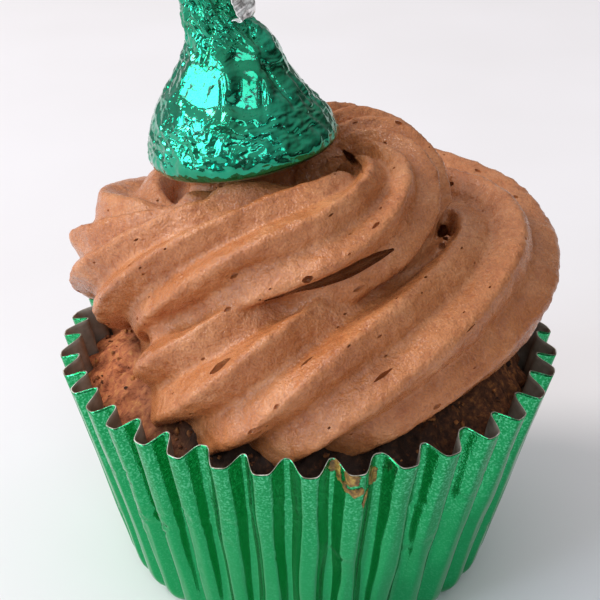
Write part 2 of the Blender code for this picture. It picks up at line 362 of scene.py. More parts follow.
# %% Sizes of the case
case_low, case_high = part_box("baking_case")
RIM_RADIUS = (case_high.x - case_low.x) / 2 / MM
RIM_HEIGHT = case_high.z / MM
BASE_RADIUS = 25.3            # where the wall's line meets the floor
CORNER_RADIUS = 4.7
PLEATS = 36
PLEAT_PHASE = 154.2           # azimuth of one crest, in degrees
PLEAT_DRIFT = ((1, 2.1, -1.8), (2, -0.8, 1.9))   # cycles a turn, sine and cosine share, degrees
CREST_DIP = 1.1               # the rim is cut flat, so it dips on each crest when folded
RIM_PLEAT_DEPTH = 2.6
FOOT_PLEAT_DEPTH = 1.5
CREST_HALF = 0.15             # half of a crest's broad strip, in pleats
VALLEY_HALF = 0.05            # and of a valley's narrow one
CREST_BOW = 0.20              # share of the fold's depth that lies in the crest's own bow
BOW_HALF = 0.34               # half of the bow's width, in pleats
FLANK_EASE = 0.65             # 0 would fold the flanks sharply, 1 would round them off
FLANK_WANDER = 0.03           # how far a flank strays sideways on its way down, in pleats
PAPER = 0.16                  # thickness: greaseproof with foil on it
WALL_SHARE = 0.3              # the wall starts here; below is the rounded corner
print("rim", round(2 * RIM_RADIUS, 1), "mm wide and", round(RIM_HEIGHT, 1), "mm high")


# %% The rule for the folds
pleat_draw = np.random.default_rng(7)
pleat_reach = pleat_draw.uniform(0.86, 1.12, PLEATS)      # depth of each pleat
pleat_lean = pleat_draw.uniform(-0.07, 0.07, PLEATS)      # how far its crest leans over


def pleat_azimuth(place):
    """Azimuth in radians of a pleat number; whole numbers are crests."""
    even = np.radians(PLEAT_PHASE + place * 360.0 / PLEATS)
    drift = sum(s * np.sin(n * even) + c * np.cos(n * even) for n, s, c in PLEAT_DRIFT)
    return even + np.radians(drift)


def per_pleat(values, place):
    """A value of each pleat, blended over the valleys between pleats."""
    near = np.floor(place).astype(int) % PLEATS
    blend = ramp(place % 1.0, 0.35, 0.65)
    return values[near] * (1 - blend) + values[(near + 1) % PLEATS] * blend


def pleat_wave(place, up):
    """1 on a crest, 0 in a valley: a broad bowed crest, straight flanks and a tight valley."""
    leaning = place + per_pleat(pleat_lean, place) * up
    off = np.abs((leaning + 0.5) % 1.0 - 0.5)
    off += FLANK_WANDER * np.sin(8.0 * up + 5.0 * np.floor(2 * leaning)) * (1 - up ** 4)
    flank = ramp(off, CREST_HALF, 0.5 - VALLEY_HALF)
    fall = (1 - FLANK_EASE) * flank + FLANK_EASE * eased(flank)
    bow = np.minimum(1.0, (off / BOW_HALF) ** 2)
    return 1.0 - (1 - CREST_BOW) * fall - CREST_BOW * bow


def case_skin(share, place, inwards=0.0, fold=1.0):
    """Points of the case's outer face, or of one set `inwards` of it."""
    slope = math.atan2(RIM_HEIGHT, RIM_RADIUS - BASE_RADIUS)
    inset = CORNER_RADIUS * math.tan(slope / 2)
    low, up = ramp(share, 0.0, WALL_SHARE), ramp(share, WALL_SHARE, 1.0)
    bend = slope * low
    radius = BASE_RADIUS - inset + CORNER_RADIUS * np.sin(bend)
    height = CORNER_RADIUS * (1 - np.cos(bend))
    radius = radius + (RIM_RADIUS - BASE_RADIUS - inset * math.cos(slope)) * up
    height = height + (RIM_HEIGHT - inset * math.sin(slope)) * up
    wave = pleat_wave(place, up) * fold
    depth = FOOT_PLEAT_DEPTH * low + (RIM_PLEAT_DEPTH - FOOT_PLEAT_DEPTH) * up
    depth = depth * per_pleat(pleat_reach, place)
    radius = radius - depth * (1 - wave) - inwards * np.sin(bend)
    height = height + inwards * np.cos(bend) - CREST_DIP * wave * up ** 3
    azimuth = pleat_azimuth(place)
    return np.stack([radius * np.cos(azimuth), radius * np.sin(azimuth), height], -1)


print("crest at", case_skin(np.array([1.0]), np.array([0.0])).round(1))

# %% [markdown]
# ## The baking case: paper skin
# The paper was pushed down by batter and handled, so it is not a perfect flute.  Long soft ripples
# run down it, and it buckled in short slanting dents where the wall bends.  These could be bump
# only, but the case's edge and shadows show them, so they are real relief: each dent is a short
# narrow groove with one raised side, laid out on the unrolled paper.

# %% Ripples and buckles
WALL_LENGTH = math.hypot(RIM_HEIGHT, RIM_RADIUS - BASE_RADIUS)
MID_RADIUS = 30.0                                # of the wall, half way up
GIRTH = 2 * math.pi * MID_RADIUS
RIPPLES = ((0.06, (0.7, 0.7, 10.0), 31), (0.16, (3.0, 3.0, 6.0), 32))    # height, size and seed
GROOVE_HALF, LIP_HALF = 0.28, 0.4                # half widths of a dent and of its raised side
LIP_OFF = 0.6                                    # how far beside the dent the raised side lies
LIP_SHARE = 0.6                                  # its height as a share of the dent's depth
BUCKLES = 170
buckle_draw = np.random.default_rng(12)
buckles = np.stack([
    buckle_draw.uniform(0, GIRTH, BUCKLES),
    WALL_LENGTH * buckle_draw.beta(3.0, 2.0, BUCKLES),
    np.radians(buckle_draw.choice((-1, 1), BUCKLES) * buckle_draw.uniform(15, 60, BUCKLES)),
    buckle_draw.uniform(1.0, 3.0, BUCKLES),      # half length
    buckle_draw.uniform(0.10, 0.34, BUCKLES),    # depth
], axis=1)


def paper_relief(share, place):
    """How far the paper stands out of its smooth fold, in millimetres."""
    across = place * GIRTH / PLEATS
    along = ramp(share, WALL_SHARE, 1.0) * WALL_LENGTH
    azimuth = pleat_azimuth(place)
    tube = np.stack([MID_RADIUS * np.cos(azimuth), MID_RADIUS * np.sin(azimuth), along], -1)
    tube = tube.reshape(-1, 3)
    height = sum(high * lumps(tube, np.array(size), seed) for high, size, seed in RIPPLES)
    height = height.reshape(share.shape)
    for middle, level, lean, half, depth in buckles:
        aside = (across - middle + GIRTH / 2) % GIRTH - GIRTH / 2
        run = aside * math.cos(lean) + (along - level) * math.sin(lean)
        off = (along - level) * math.cos(lean) - aside * math.sin(lean)
        fade = depth * np.clip(1 - np.abs(run) / half, 0, 1)
        height -= fade * np.exp(-(off / GROOVE_HALF) ** 2)
        height += LIP_SHARE * fade * np.exp(-((off - LIP_OFF) / LIP_HALF) ** 2)
    calm_rim = 1 - 0.8 * ramp(share, 0.76, 0.86)
    return height * np.clip((share - WALL_SHARE) * 6, 0, 1) * calm_rim


def grid_normals(points):
    """Outward normals of a closed grid of rings, rows going up."""
    around = np.roll(points, -1, axis=1) - np.roll(points, 1, axis=1)
    upward = np.gradient(points, axis=0)
    normal = np.cross(around, upward)
    return normal / np.linalg.norm(normal, axis=-1, keepdims=True).clip(1e-9)


print(BUCKLES, "buckles up to", round(float(buckles[:, 4].max()), 2), "mm deep")


# %% Build the case
CASE_COLUMNS = 22 * PLEATS
CORNER_ROWS, WALL_ROWS = 7, 50
SEEN_ROWS = 18                # rows of the inside, from the rim down, that can be seen
HIDDEN_ROWS = 12              # and those behind the sponge
HIDDEN_INSET = 0.9            # how much thicker the skin is there


def case_grid(shares, inwards=0.0, crumpled=1.0):
    """Rings of the crumpled paper at the given shares of the wall."""
    place = np.arange(CASE_COLUMNS) / CASE_COLUMNS * PLEATS
    share, place = np.meshgrid(shares, place, indexing="ij")
    skin = case_skin(share, place, inwards)
    ragged = 0.14 * lumps(skin.reshape(-1, 3), 1.7, 33).reshape(share.shape)
    skin[..., 2] += ramp(share, 0.9, 1.0) * ragged
    outward = np.sign(shares[-1] - shares[0])
    return skin + outward * grid_normals(skin) * (paper_relief(share, place) * crumpled)[..., None]


def make_case(*finishes):
    """Outer face, cut edge and inner face in one closed skin.  Inside, the rows lie level with
    the outer ones as far down as they can be seen; below that the sponge hides them."""
    corner_shares = np.linspace(0.0, WALL_SHARE, CORNER_ROWS)[:-1]
    outer_shares = np.concatenate([corner_shares, np.linspace(WALL_SHARE, 1.0, WALL_ROWS)])
    seen = outer_shares[:-SEEN_ROWS - 1:-1]
    inner_shares = np.concatenate([seen, seen[-1] - 0.02 - np.arange(HIDDEN_ROWS) * 0.06])
    inner_shares[-1] = 0.0
    hidden = (inner_shares < seen[-1])[:, None]
    inner = case_grid(inner_shares, PAPER + HIDDEN_INSET * hidden, 1.0 - hidden)
    points, faces = closed_tube(np.concatenate([case_grid(outer_shares), inner]))
    points[-2:, :2] = 0.0                          # the middles of the floor, below and inside
    piece = add_mesh("baking_case_paper", points, faces, finishes)
    edge = (len(outer_shares) - 1) * CASE_COLUMNS
    slots = np.ones(len(faces), np.int32)          # greaseproof inside
    slots[:edge] = 0                               # foil outside
    slots[edge:edge + CASE_COLUMNS] = 2            # the cut between them
    slots[-2 * CASE_COLUMNS::2] = 0                # foil under the base
    piece.data.polygons.foreach_set("material_index", slots)
    return piece


print("paper grid:", CASE_COLUMNS, "columns,", CASE_COLUMNS // PLEATS, "to a pleat")

# %% [markdown]
# ## Finish: lacquered foil on greaseproof paper
# The outside is aluminium foil, lacquered green and pressed with a fine satin grain.  Aluminium
# under a clear coloured lacquer looks like a green metal: light that bounces twice between two
# flanks of a pleat is coloured twice, which gives the deep green in the folds with no paint at
# all.  So the finish is a rough green metal and the folds do the rest.  The grain is about 0.1 mm
# on the real paper; it is drawn at 0.3 mm, or it would vanish between pixels.  It shows near the
# rim, where the paper was not stretched, and fades down the wall.  There it also speckles the
# tone: its light specks are painted glints and its dark specks painted shade of the grain.

# %% Case finishes
FOIL_GRAIN = 0.30


def lacquered_foil():
    """Satin green foil, aluminium under lacquer: soft broad highlights and deep green folds."""
    made, tree, where = new_finish("green lacquered foil", {"Metallic": 0.95, "Roughness": 0.4})
    grain = add_node(tree, "TexNoise", "Fac", {"Vector": where},
                     {"Scale": per_mm(FOIL_GRAIN), "Detail": 1.0, "Roughness": 0.6})
    height = add_node(tree, "SeparateXYZ", "Z", {"Vector": where})
    near_rim = add_node(tree, "MapRange", "Result", {"Value": height},
                        {"From Min": 16 * MM, "From Max": 31 * MM, "To Min": 0.15, "To Max": 0.85})
    # Painted glints and shade of the grain: light and dark specks in the tone, strongest near the
    # rim.
    painted_grain_glints = add_node(tree, "ValToRGB", "Color", {"Fac": grain},
                        stops=((0.36, "#1A8A4C"), (0.52, "#279E60"), (0.68, "#66CC98")))
    tone = add_node(tree, "Mix", 2, {0: near_rim, 7: painted_grain_glints}, {6: colour("#269D5E")},
                    data_type="RGBA")
    matt = add_node(tree, "ValToRGB", "Color", {"Fac": grain},
                    stops=((0.3, "#707070"), (0.7, "#565656")))
    pressed = add_node(tree, "Math", 0, {0: grain, 1: near_rim}, operation="MULTIPLY")
    relief = add_node(tree, "Bump", "Normal", {"Height": pressed},
                      {"Distance": 0.05 * MM, "Strength": 0.6})
    finish_with(tree, Base_Color=tone, Roughness=matt, Normal=relief)
    return made


# The inside: brown-grey paper that soaked up fat from the batter.
greaseproof = mottled_finish(
    "greaseproof paper", {"Roughness": 0.6},
    {"Scale": per_mm(2.5), "Detail": 3.0, "Roughness": 0.6},
    ((0.3, "#655A4C"), (0.55, "#8A7F70"), (0.8, "#A0968A")),
    {"Distance": 0.1 * MM, "Strength": 0.4})
# The pale core of the paper, seen where it was cut, with fat stains.
cut_edge = mottled_finish(
    "cut paper edge", {"Roughness": 0.8},
    {"Scale": per_mm(1.6), "Detail": 3.0, "Roughness": 0.6},
    ((0.38, "#77705F"), (0.5, "#A9A294"), (0.62, "#D5D0C4")))

case = make_case(lacquered_foil(), greaseproof, cut_edge)
dress(case, "foil_paper", "baking_case")

# %% [markdown]
# ## The sponge
# The sponge rose into a low dome, cracked, and stuck to the paper in front, while on its left it
# shrank away and left the pleats empty.  A displaced sphere would lose those edges, so the dome is
# a grid of rings whose outer edge follows the pleats as far as the batter filled them.  Crumb
# relief and burst bubbles are pushed into the grid.

# %% Sponge shape
SPONGE_RADIUS = 31.0
SPONGE_CENTRE = 38.5         # height of the dome's middle
SPONGE_EDGE = 29.6           # and of its edge
SPONGE_TILT = 1.2            # how much it rises to the right and falls to the left
# Share of the wall and distance inside the paper for each ring of its side, up to the brim.
SPONGE_SIDE = ((0.0, 1.5), (0.1, 1.5), (0.2, 1.5), (0.3, 1.5), (0.5, 1.5), (0.65, 1.5),
               (0.76, 0.9), (0.82, 0.55), (0.85, 0.35), (0.88, 0.25))
SPONGE_COLUMNS = 16 * PLEATS


def sponge_top(x, y):
    """Height of the dome above a place on the floor."""
    radius = np.hypot(x, y)
    fall = (SPONGE_CENTRE - SPONGE_EDGE) * (radius / SPONGE_RADIUS) ** 2.2
    swell = np.sin(0.9 * x + 1.3) * np.sin(0.8 * y + 0.4) + 0.6 * np.sin(1.7 * x - 1.4 * y)
    return SPONGE_CENTRE - fall + SPONGE_TILT * x / SPONGE_RADIUS + 0.45 * swell


def batter_fill(azimuth):
    """How far the batter filled the pleats: 1 in front, 0 on the left."""
    toward_front = -np.sin(azimuth + 0.35)
    return np.clip(0.45 + 0.75 * toward_front, 0.0, 1.0)


def sponge_ring(share, inset):
    """The sponge's side at a share of the wall, one ring of points."""
    place = np.arange(SPONGE_COLUMNS) / SPONGE_COLUMNS * PLEATS
    azimuth = pleat_azimuth(place)
    fill = batter_fill(azimuth)
    ring = case_skin(np.full(SPONGE_COLUMNS, share), place, PAPER + inset, fold=fill)
    shrunk = 0.7 * (1 - fill)
    ring[:, 0] -= shrunk * np.cos(azimuth)
    ring[:, 1] -= shrunk * np.sin(azimuth)
    return ring


def make_sponge(crumb):
    """Rings up the side to the brim, then ever smaller ones over the dome."""
    rings = [sponge_ring(share, inset) for share, inset in SPONGE_SIDE]
    brim = rings[-1]
    for share in np.concatenate([np.linspace(0.99, 0.58, 44), np.linspace(0.5, 0.05, 8)]):
        ring = brim * share
        edge = ramp(share, 0.86, 1.0) ** 1.5
        ring[:, 2] = sponge_top(ring[:, 0], ring[:, 1]) * (1 - edge) + brim[:, 2] * edge
        rings.append(ring)
    points, faces = closed_tube(np.array(rings))
    points[-2:] = (0, 0, rings[0][0, 2]), (0, 0, SPONGE_CENTRE)
    piece = add_mesh("sponge_crumb", points, faces, (crumb,))
    where = read_points(piece.data)
    relief = 0.30 * rough(where, 2.4, 41, 4) + 0.16 * rough(where, 0.8, 45, 2)
    pores = lumps(where, 1.3, 49) + 0.5 * lumps(where, 0.6, 50)
    relief -= 0.9 * np.clip(pores - 0.62, 0, 1)
    push_out(piece.data, relief * ramp(where[:, 2], 27.5, 29.0))
    return piece


print("sponge top at its middle:", round(float(sponge_top(0.0, 0.0)), 1), "mm")


# %% [markdown]
# ## Finish: chocolate sponge
# Baked batter is matt and full of small holes.  Cocoa makes the crumb nearly black where it is
# damp, and the thin crust that faced the oven is a redder brown.  The tone runs from a light
# red-brown crust at the left to a nearly black crumb in front: partly their own tones, and partly
# painted light on the left, where the light falls, and painted shade in front, under the frosting.
# Real patches of both lie in it, and specks of orange-brown crust lie on it.

# %% Sponge finish
def chocolate_crumb():
    """Matt crumb: crust and painted light at the left, damp crumb and painted shade in front and
    right.
    """
    made, tree, where = new_finish("chocolate sponge crumb", {"Roughness": 0.85, "IOR": 1.4})
    across = add_node(tree, "SeparateXYZ", "X", {"Vector": where})
    # Painted light: the tone turns to the lighter crust towards the left, where the light falls.
    crust_and_painted_light_fade = add_node(tree, "MapRange", "Result", {"Value": across},
                         {"From Min": -27 * MM, "From Max": -14 * MM})
    from_right = add_node(tree, "MapRange", "Result", {"Value": across},
                          {"From Min": 12 * MM, "From Max": 26 * MM, "To Max": 0.8})
    patch = add_node(tree, "TexNoise", "Fac", {"Vector": where},
                     {"Scale": per_mm(3.2), "Detail": 3.0, "Roughness": 0.6})
    speck = add_node(tree, "TexNoise", "Fac", {"Vector": where},
                     {"Scale": per_mm(0.9), "Detail": 3.0, "Roughness": 0.7})
    # The crust's red-brown, made lighter than it is as painted light on the left.
    crust = add_node(tree, "ValToRGB", "Color", {"Fac": speck},
                     stops=((0.30, "#7E4228"), (0.48, "#C07048"),
                            (0.62, "#CE8450"), (0.74, "#ECAA6A")))
    # The damp crumb's dark brown, made darker still as painted shade for the front, under the
    # frosting.
    moist_crumb_and_painted_shade = add_node(tree, "ValToRGB", "Color", {"Fac": speck},
                     stops=((0.30, "#24150E"), (0.55, "#40281A"), (0.76, "#7A4826")))
    mottled = add_node(tree, "ValToRGB", "Color", {"Fac": speck},
                       stops=((0.34, "#4A2A1A"), (0.52, "#7E4A2C"), (0.70, "#C07A40")))
    moist_crumb_and_painted_shade = add_node(tree, "Mix", 2, {0: patch, 6: moist_crumb_and_painted_shade}, {7: colour("#2E1C13")}, data_type="RGBA")
    moist_crumb_and_painted_shade = add_node(tree, "Mix", 2, {0: from_right, 6: moist_crumb_and_painted_shade, 7: mottled}, data_type="RGBA")
    tone = add_node(tree, "Mix", 2, {0: crust_and_painted_light_fade, 6: crust, 7: moist_crumb_and_painted_shade}, data_type="RGBA")
    coarse = add_node(tree, "Bump", "Normal", {"Height": speck},
                      {"Distance": 0.35 * MM, "Strength": 0.8})
    pores = add_node(tree, "TexNoise", "Fac", {"Vector": where},
                     {"Scale": per_mm(0.35), "Detail": 2.0, "Roughness": 0.6})
    fine = add_node(tree, "Bump", "Normal", {"Height": pores, "Normal": coarse},
                    {"Distance": 0.12 * MM, "Strength": 0.7})
    finish_with(tree, Base_Color=tone, Normal=fine)
    return made


sponge = make_sponge(chocolate_crumb())
dress(sponge, "sponge", "sponge")

# %% [markdown]
# ## The piped swirl
# Frosting pressed through a star nozzle comes out as a rope with seven crisp ridges.  The bag
# was walked round the cake and inwards, nearly two turns, and the rope rolled as it was laid, so
# the ridges slant across it.  A spiral curve with a star bevel would give a regular screw; piping
# is not regular, so a table gives the rope's place, thickness and roll along its way, and the star
# is swept through it.  Voxel remeshing then fuses the turns where they touch, as soft frosting
# does, and leaves the dark gaps where they do not.

# %% Sizes of the swirl
LOBES = 7
RIDGE = 0.145                 # how far a ridge stands out, as a share of the rope's radius
SWIRL_START = 220.0           # azimuth at which the travel is 0, in degrees
SWIRL_SPAN = (-14.0, 700.0)   # travel of the rope's two ends
BLUNT_END = 22.0              # travel over which an end rounds off
# Travel round the cake (degrees), rope centre radius, rope centre height, rope radius, roll.
SWIRL = (
    (-60, 18.9, 35.5, 9.8, -176), (0, 18.5, 36.8, 9.7, -43), (30, 19.8, 37.9, 10.4, 28),
    (60, 21.3, 39.7, 9.4, 100), (90, 22.6, 43.0, 8.4, 136), (120, 23.9, 45.1, 8.2, 161),
    (180, 24.4, 42.8, 9.2, 211), (240, 23.4, 42.2, 9.4, 250), (300, 24.1, 42.2, 9.2, 308),
    (330, 21.4, 44.3, 8.7, 370), (360, 17.7, 49.0, 8.3, 437), (390, 15.8, 52.3, 7.4, 492),
    (420, 15.2, 54.4, 7.3, 524), (480, 11.1, 54.8, 7.1, 610), (540, 9.4, 55.4, 7.4, 735),
    (600, 8.6, 55.4, 7.2, 840), (660, 9.8, 55.2, 7.0, 925), (720, 8.6, 54.2, 5.8, 1000),
)
# The frosting inside the coil: radius, height and shift.
CORE = ((24.0, 26.0, 0.0), (23.0, 35.0, 0.0), (16.0, 44.0, 0.0), (11.5, 50.0, 0.0),
        (6.0, 54.0, 0.0))
ROPE_SIDES = 14 * LOBES
VOXEL = 0.44                  # finer ones would need more faces than a shared part can have
print("the rope is", round(2 * SWIRL[5][3] * (1 + RIDGE), 1), "mm thick across its ridges")


# %% Sweep the star
def smooth_table(table, place):
    """Read a table whose first column is a position, along a smooth curve through its rows."""
    table = np.array(table, float)
    knots, values = table[:, 0], table[:, 1:]
    slope = np.empty_like(values)
    slope[1:-1] = (values[2:] - values[:-2]) / (knots[2:] - knots[:-2])[:, None]
    slope[0] = (values[1] - values[0]) / (knots[1] - knots[0])
    slope[-1] = (values[-1] - values[-2]) / (knots[-1] - knots[-2])
    row = np.clip(np.searchsorted(knots, place, side="right") - 1, 0, len(knots) - 2)
    span = (knots[row + 1] - knots[row])[:, None]
    share = (place - knots[row])[:, None] / span
    start, end = values[row], values[row + 1]
    leave, arrive = slope[row] * span, slope[row + 1] * span
    bend = (3 * (end - start) - 2 * leave - arrive) * share ** 2
    return start + leave * share + bend + (2 * (start - end) + leave + arrive) * share ** 3


def star(phase):
    """The nozzle's star, 1 on a ridge and -1 in a groove, with flat faces between them."""
    return (np.cos(2 * np.pi * phase) + np.cos(6 * np.pi * phase) / 10) / 1.1


def rope_points(travel, sides=ROPE_SIDES):
    """Star sections of the rope: one row of points for each travel angle."""
    centre, height, radius, roll = (column[:, None] for column in smooth_table(SWIRL, travel).T)
    from_end = np.minimum(travel - SWIRL_SPAN[0], SWIRL_SPAN[1] - travel) / BLUNT_END
    radius = radius * np.sqrt(1 - (1 - from_end.clip(0.03, 1.0)) ** 2)[:, None]
    side = np.arange(sides)[None, :]
    angle = np.radians(roll + 360.0 * side / sides)
    reach = radius * (1 + RIDGE * star(side * LOBES / sides))
    out = centre + reach * np.cos(angle)
    azimuth = np.radians(SWIRL_START + travel)[:, None]
    rise = height + reach * np.sin(angle)
    return np.stack([out * np.cos(azimuth), out * np.sin(azimuth), rise], -1)


def turned_rings(profile, sides):
    """Rings of a turned form, bottom to top, from radii, heights and shifts of its middle."""
    turn = circle(sides)
    return np.array([
        np.stack([shift + radius * np.cos(turn), radius * np.sin(turn), np.full(sides, height)], -1)
        for radius, height, shift in profile])


def keep_largest_body(title, mesh):
    """Drop loose scraps and the skins of sealed hollows, and print what is there."""
    count = len(mesh.vertices)
    edges = np.empty(len(mesh.edges) * 2, np.int32)
    mesh.edges.foreach_get("vertices", edges)
    first, second = edges.reshape(-1, 2).T
    label = np.arange(count)
    while True:
        low = np.minimum(label[first], label[second])
        fresh = label.copy()
        np.minimum.at(fresh, first, low)
        np.minimum.at(fresh, second, low)
        fresh = fresh[fresh]
        if (fresh == label).all():
            break
        label = fresh
    keep = np.bincount(label, minlength=count).argmax()
    scraps = np.flatnonzero(label != keep)
    print(title, len(mesh.polygons), "faces,", len(scraps), "scrap points dropped")
    if len(scraps):
        build = bmesh.new()
        build.from_mesh(mesh)
        build.verts.ensure_lookup_table()
        loose = [build.verts[int(k)] for k in scraps]
        bmesh.ops.delete(build, geom=loose, context="VERTS")
        build.to_mesh(mesh)
        build.free()


print("the star from ridge to groove:", [round(float(star(k / 8)), 2) for k in range(5)])


# %% Lay the rope and fuse its turns
def fuse_rope():
    """The rope and the core inside the coil, fused into one skin."""
    travel = np.arange(SWIRL_SPAN[0], SWIRL_SPAN[1] + 0.1, 2.0)
    rope = closed_tube(rope_points(travel)[:, ::-1])
    core = closed_tube(turned_rings(CORE, 60))
    piece = add_mesh("frosting_swirl", *joined([rope, core]))
    keep_largest_body("fused:", modify(piece, "REMESH", mode="VOXEL", voxel_size=VOXEL * MM))
    return piece


frosting = fuse_rope()

# %% [markdown]
# ## The swirl: bed, dent and drag marks
# The swirl sits on the dome and the drop was pressed into its top, so both shapes are cut out of
# it, and the frosting that the drop pushed aside is raised round its foot.  Then comes relief that
# follows the piping: for each point the nearest place on the rope is looked up, which tells how
# far along and how far round the rope it lies.  Noise read in those two directions gives drag
# marks that run along the ridges, as the nozzle's teeth leave them.

# %% Where the drop sits
DROP_FOOT = (-8.2, -2.2, 61.4)   # centre of its flat base
DROP_LEAN = 11.4                 # degrees towards -X
DROP_NOD = 2.5                   # degrees towards +Y
# Height above its base, radius, and how far its middle strays towards +X.
DROP_PROFILE = (
    (0.0, 11.3, 0.6), (0.5, 11.9, 0.3), (2.0, 12.1, -0.15), (3.8, 11.4, -0.45), (5.7, 10.5, -0.6),
    (7.6, 9.5, -0.6), (10.0, 8.0, -0.3), (12.1, 6.8, 0.3), (14.2, 5.6, 0.6), (16.5, 4.3, 0.1),
    (18.5, 3.6, -0.55), (20.5, 3.0, -0.9), (22.4, 2.7, -1.1), (24.0, 1.9, -1.3),
)
CONTACT = 0.12                # frosting is soft, so it closes up to what rests on it


def drop_matrix():
    """Where the drop stands and how it leans, in millimetres."""
    lean = Matrix.Rotation(math.radians(-DROP_LEAN), 4, "Y")
    nod = Matrix.Rotation(math.radians(-DROP_NOD), 4, "X")
    return np.array(Matrix.Translation(Vector(DROP_FOOT)) @ lean @ nod)


def placed(points, matrix):
    """Points moved by a 4 x 4 matrix."""
    return points @ matrix[:3, :3].T + matrix[:3, 3]


print("the drop is", round(2 * max(row[1] for row in DROP_PROFILE), 1), "mm across")


# %% Cut the bed and the dent
def bed_cutter():
    """Everything under the dome, up to the contact gap above it."""
    turn = circle(120)
    rings = []
    for share in (1.25, 1.0, 0.93, 0.86, 0.78, 0.7, 0.6, 0.5, 0.4, 0.3, 0.2, 0.1):
        x, y = SPONGE_RADIUS * share * np.cos(turn), SPONGE_RADIUS * share * np.sin(turn)
        rings.append(np.stack([x, y, sponge_top(x, y) + CONTACT], -1))
    rings[0][:, 2] = rings[1][:, 2]
    floor = rings[0].copy()
    floor[:, 2] = 10.0           # well below the swirl
    return add_mesh("bed", *closed_tube(np.array([floor] + rings)))


def dent_cutter():
    """The drop, grown by the contact gap."""
    profile = [(radius + CONTACT, height, sway) for height, radius, sway in DROP_PROFILE]
    profile[0] = (profile[0][0], -CONTACT, profile[0][2])
    points, faces = closed_tube(turned_rings(profile, 72))
    return add_mesh("dent", placed(points, drop_matrix()), faces)


cut(frosting, bed_cutter())
cut(frosting, dent_cutter())
keep_largest_body("after the cuts:", frosting.data)


# %% Follow the rope
LOOKUP_STEP = 3.0             # degrees of travel between the places that are looked up
LOOKUP_SIDES = 5 * LOBES
LOOKUP_SPAN = np.arange(SWIRL_SPAN[0] + 1, SWIRL_SPAN[1] - 1, LOOKUP_STEP)


def rope_lookup(points):
    """For each point: distance round the rope, distance along it, and the ridge's direction."""
    rings = rope_points(LOOKUP_SPAN, LOOKUP_SIDES)
    ahead = rope_points(LOOKUP_SPAN + 1.0, LOOKUP_SIDES)
    tree = KDTree(rings.shape[0] * LOOKUP_SIDES)
    for index, point in enumerate(rings.reshape(-1, 3).tolist()):
        tree.insert(point, index)
    tree.balance()
    nearest = np.array([tree.find(point)[1] for point in points.tolist()])
    step = np.linalg.norm(ahead - rings, axis=-1).mean(axis=1)
    along = np.cumsum(step * LOOKUP_STEP)[nearest // LOOKUP_SIDES]
    around = (nearest % LOOKUP_SIDES) / LOOKUP_SIDES
    tangent = (ahead - rings).reshape(-1, 3)[nearest]
    return around, along, tangent / np.linalg.norm(tangent, axis=1)[:, None]


def frosting_relief(points):
    """Drag marks along the ridges over soft unevenness, in millimetres."""
    around, along, _ = rope_lookup(points)
    reach = 2 * math.pi * 9.0 / 6    # about the rope's own radius
    turn = 2 * np.pi * around
    unrolled = np.stack([reach * np.cos(turn), reach * np.sin(turn), along], -1)
    drag = lumps(unrolled, np.array((0.9, 0.9, 7.0)), 61)
    drag += 0.6 * lumps(unrolled, np.array((0.6, 0.6, 3.0)), 62)
    return 0.06 * drag + 0.26 * lumps(points, 5.0, 63) + 0.16 * rough(points, 1.9, 64, 3)


# Shallow hollows seen in the picture: pixel across and down, half length and half width in pixels,
# depth in millimetres.
SEEN_DENTS = (
    (174, 321, 13, 6, 0.7), (246, 270, 17, 5, 0.5), (192, 284, 8, 4, 0.25),
    (252, 312, 9, 5, 0.25), (166, 380, 9, 4, 0.3), (409, 346, 12, 4, 0.25), (289, 228, 10, 3, 0.2),
)


def press_dents(piece):
    """Push each hollow in, stretched along the ridge that it lies on."""
    points = read_points(piece.data)
    tree = face_tree(piece)
    depth = np.zeros(len(points))
    for across, down, long, wide, deep in SEEN_DENTS:
        middle, _, pixel = seen_on(tree, across, down)
        _, _, tangent = rope_lookup(middle[None])
        gap = points - middle
        run = gap @ tangent[0]
        off = np.linalg.norm(gap - np.outer(run, tangent[0]), axis=1)
        depth += deep * np.exp(-(run / (long * pixel)) ** 2 - (off / (wide * pixel)) ** 2)
    push_out(piece.data, -depth)
    return depth.max()


SQUEEZED = 1.9                # how far the frosting swells up at the drop's foot
SQUEEZE_PAST = 0.3            # how far past the foot's edge it starts
SQUEEZE_FADE = 2.2            # over how wide a band it grows to all of it
SQUEEZE_DEEP = 6.0            # how far under the foot it ends
SQUEEZE_THIN = 3.0            # over how much of that depth it fades


def squeeze_up(piece):
    """Raise the crests under and round the drop, so that its foot is bedded in them."""
    points = read_points(piece.data)
    matrix = drop_matrix()
    axis = matrix[:3, 2]
    own = (points - matrix[:3, 3]) @ matrix[:3, :3]
    gap = -CONTACT - own[:, 2]
    _, foot_radius, foot_sway = DROP_PROFILE[0]
    radius = np.hypot(own[:, 0] - foot_sway, own[:, 1])
    near = np.clip((foot_radius + SQUEEZE_PAST - radius) / SQUEEZE_FADE, 0, 1)
    rise = np.clip(gap, 0, SQUEEZED) * np.clip((SQUEEZE_DEEP - gap) / SQUEEZE_THIN, 0, 1)
    rise = rise * near * near * (3 - 2 * near)
    rise *= (read_points(piece.data, normals=True) @ axis) > 0
    write_points(piece.data, points + np.outer(rise, axis))
    return rise.max()


print("frosting squeezed up by", round(float(squeeze_up(frosting)), 2), "mm")
swirl_relief = frosting_relief(read_points(frosting.data))
push_out(frosting.data, swirl_relief)
print("relief up to", round(float(np.abs(swirl_relief).max()), 2), "mm")
print("hollows down to", round(float(press_dents(frosting)), 2), "mm")

# %% [markdown]
# ## The swirl: burst bubbles and tears
# Whipped frosting is full of air.  Where the nozzle cut a bubble there is a pit, and where the
# frosting was pulled too fast its skin tore along the ridge.  Painting them dark would look flat
# from the side, so each one is a small lens-shaped cutter, stretched along the ridge, and one
# Boolean takes them all out.  Those that show in the picture are placed along the line of sight
# through their pixel; the rest of the swirl gets its share of seeded random ones.  Where one turn
# hangs over the next and leaves a deep gap, a blade that follows the gap's pixels cuts it first.

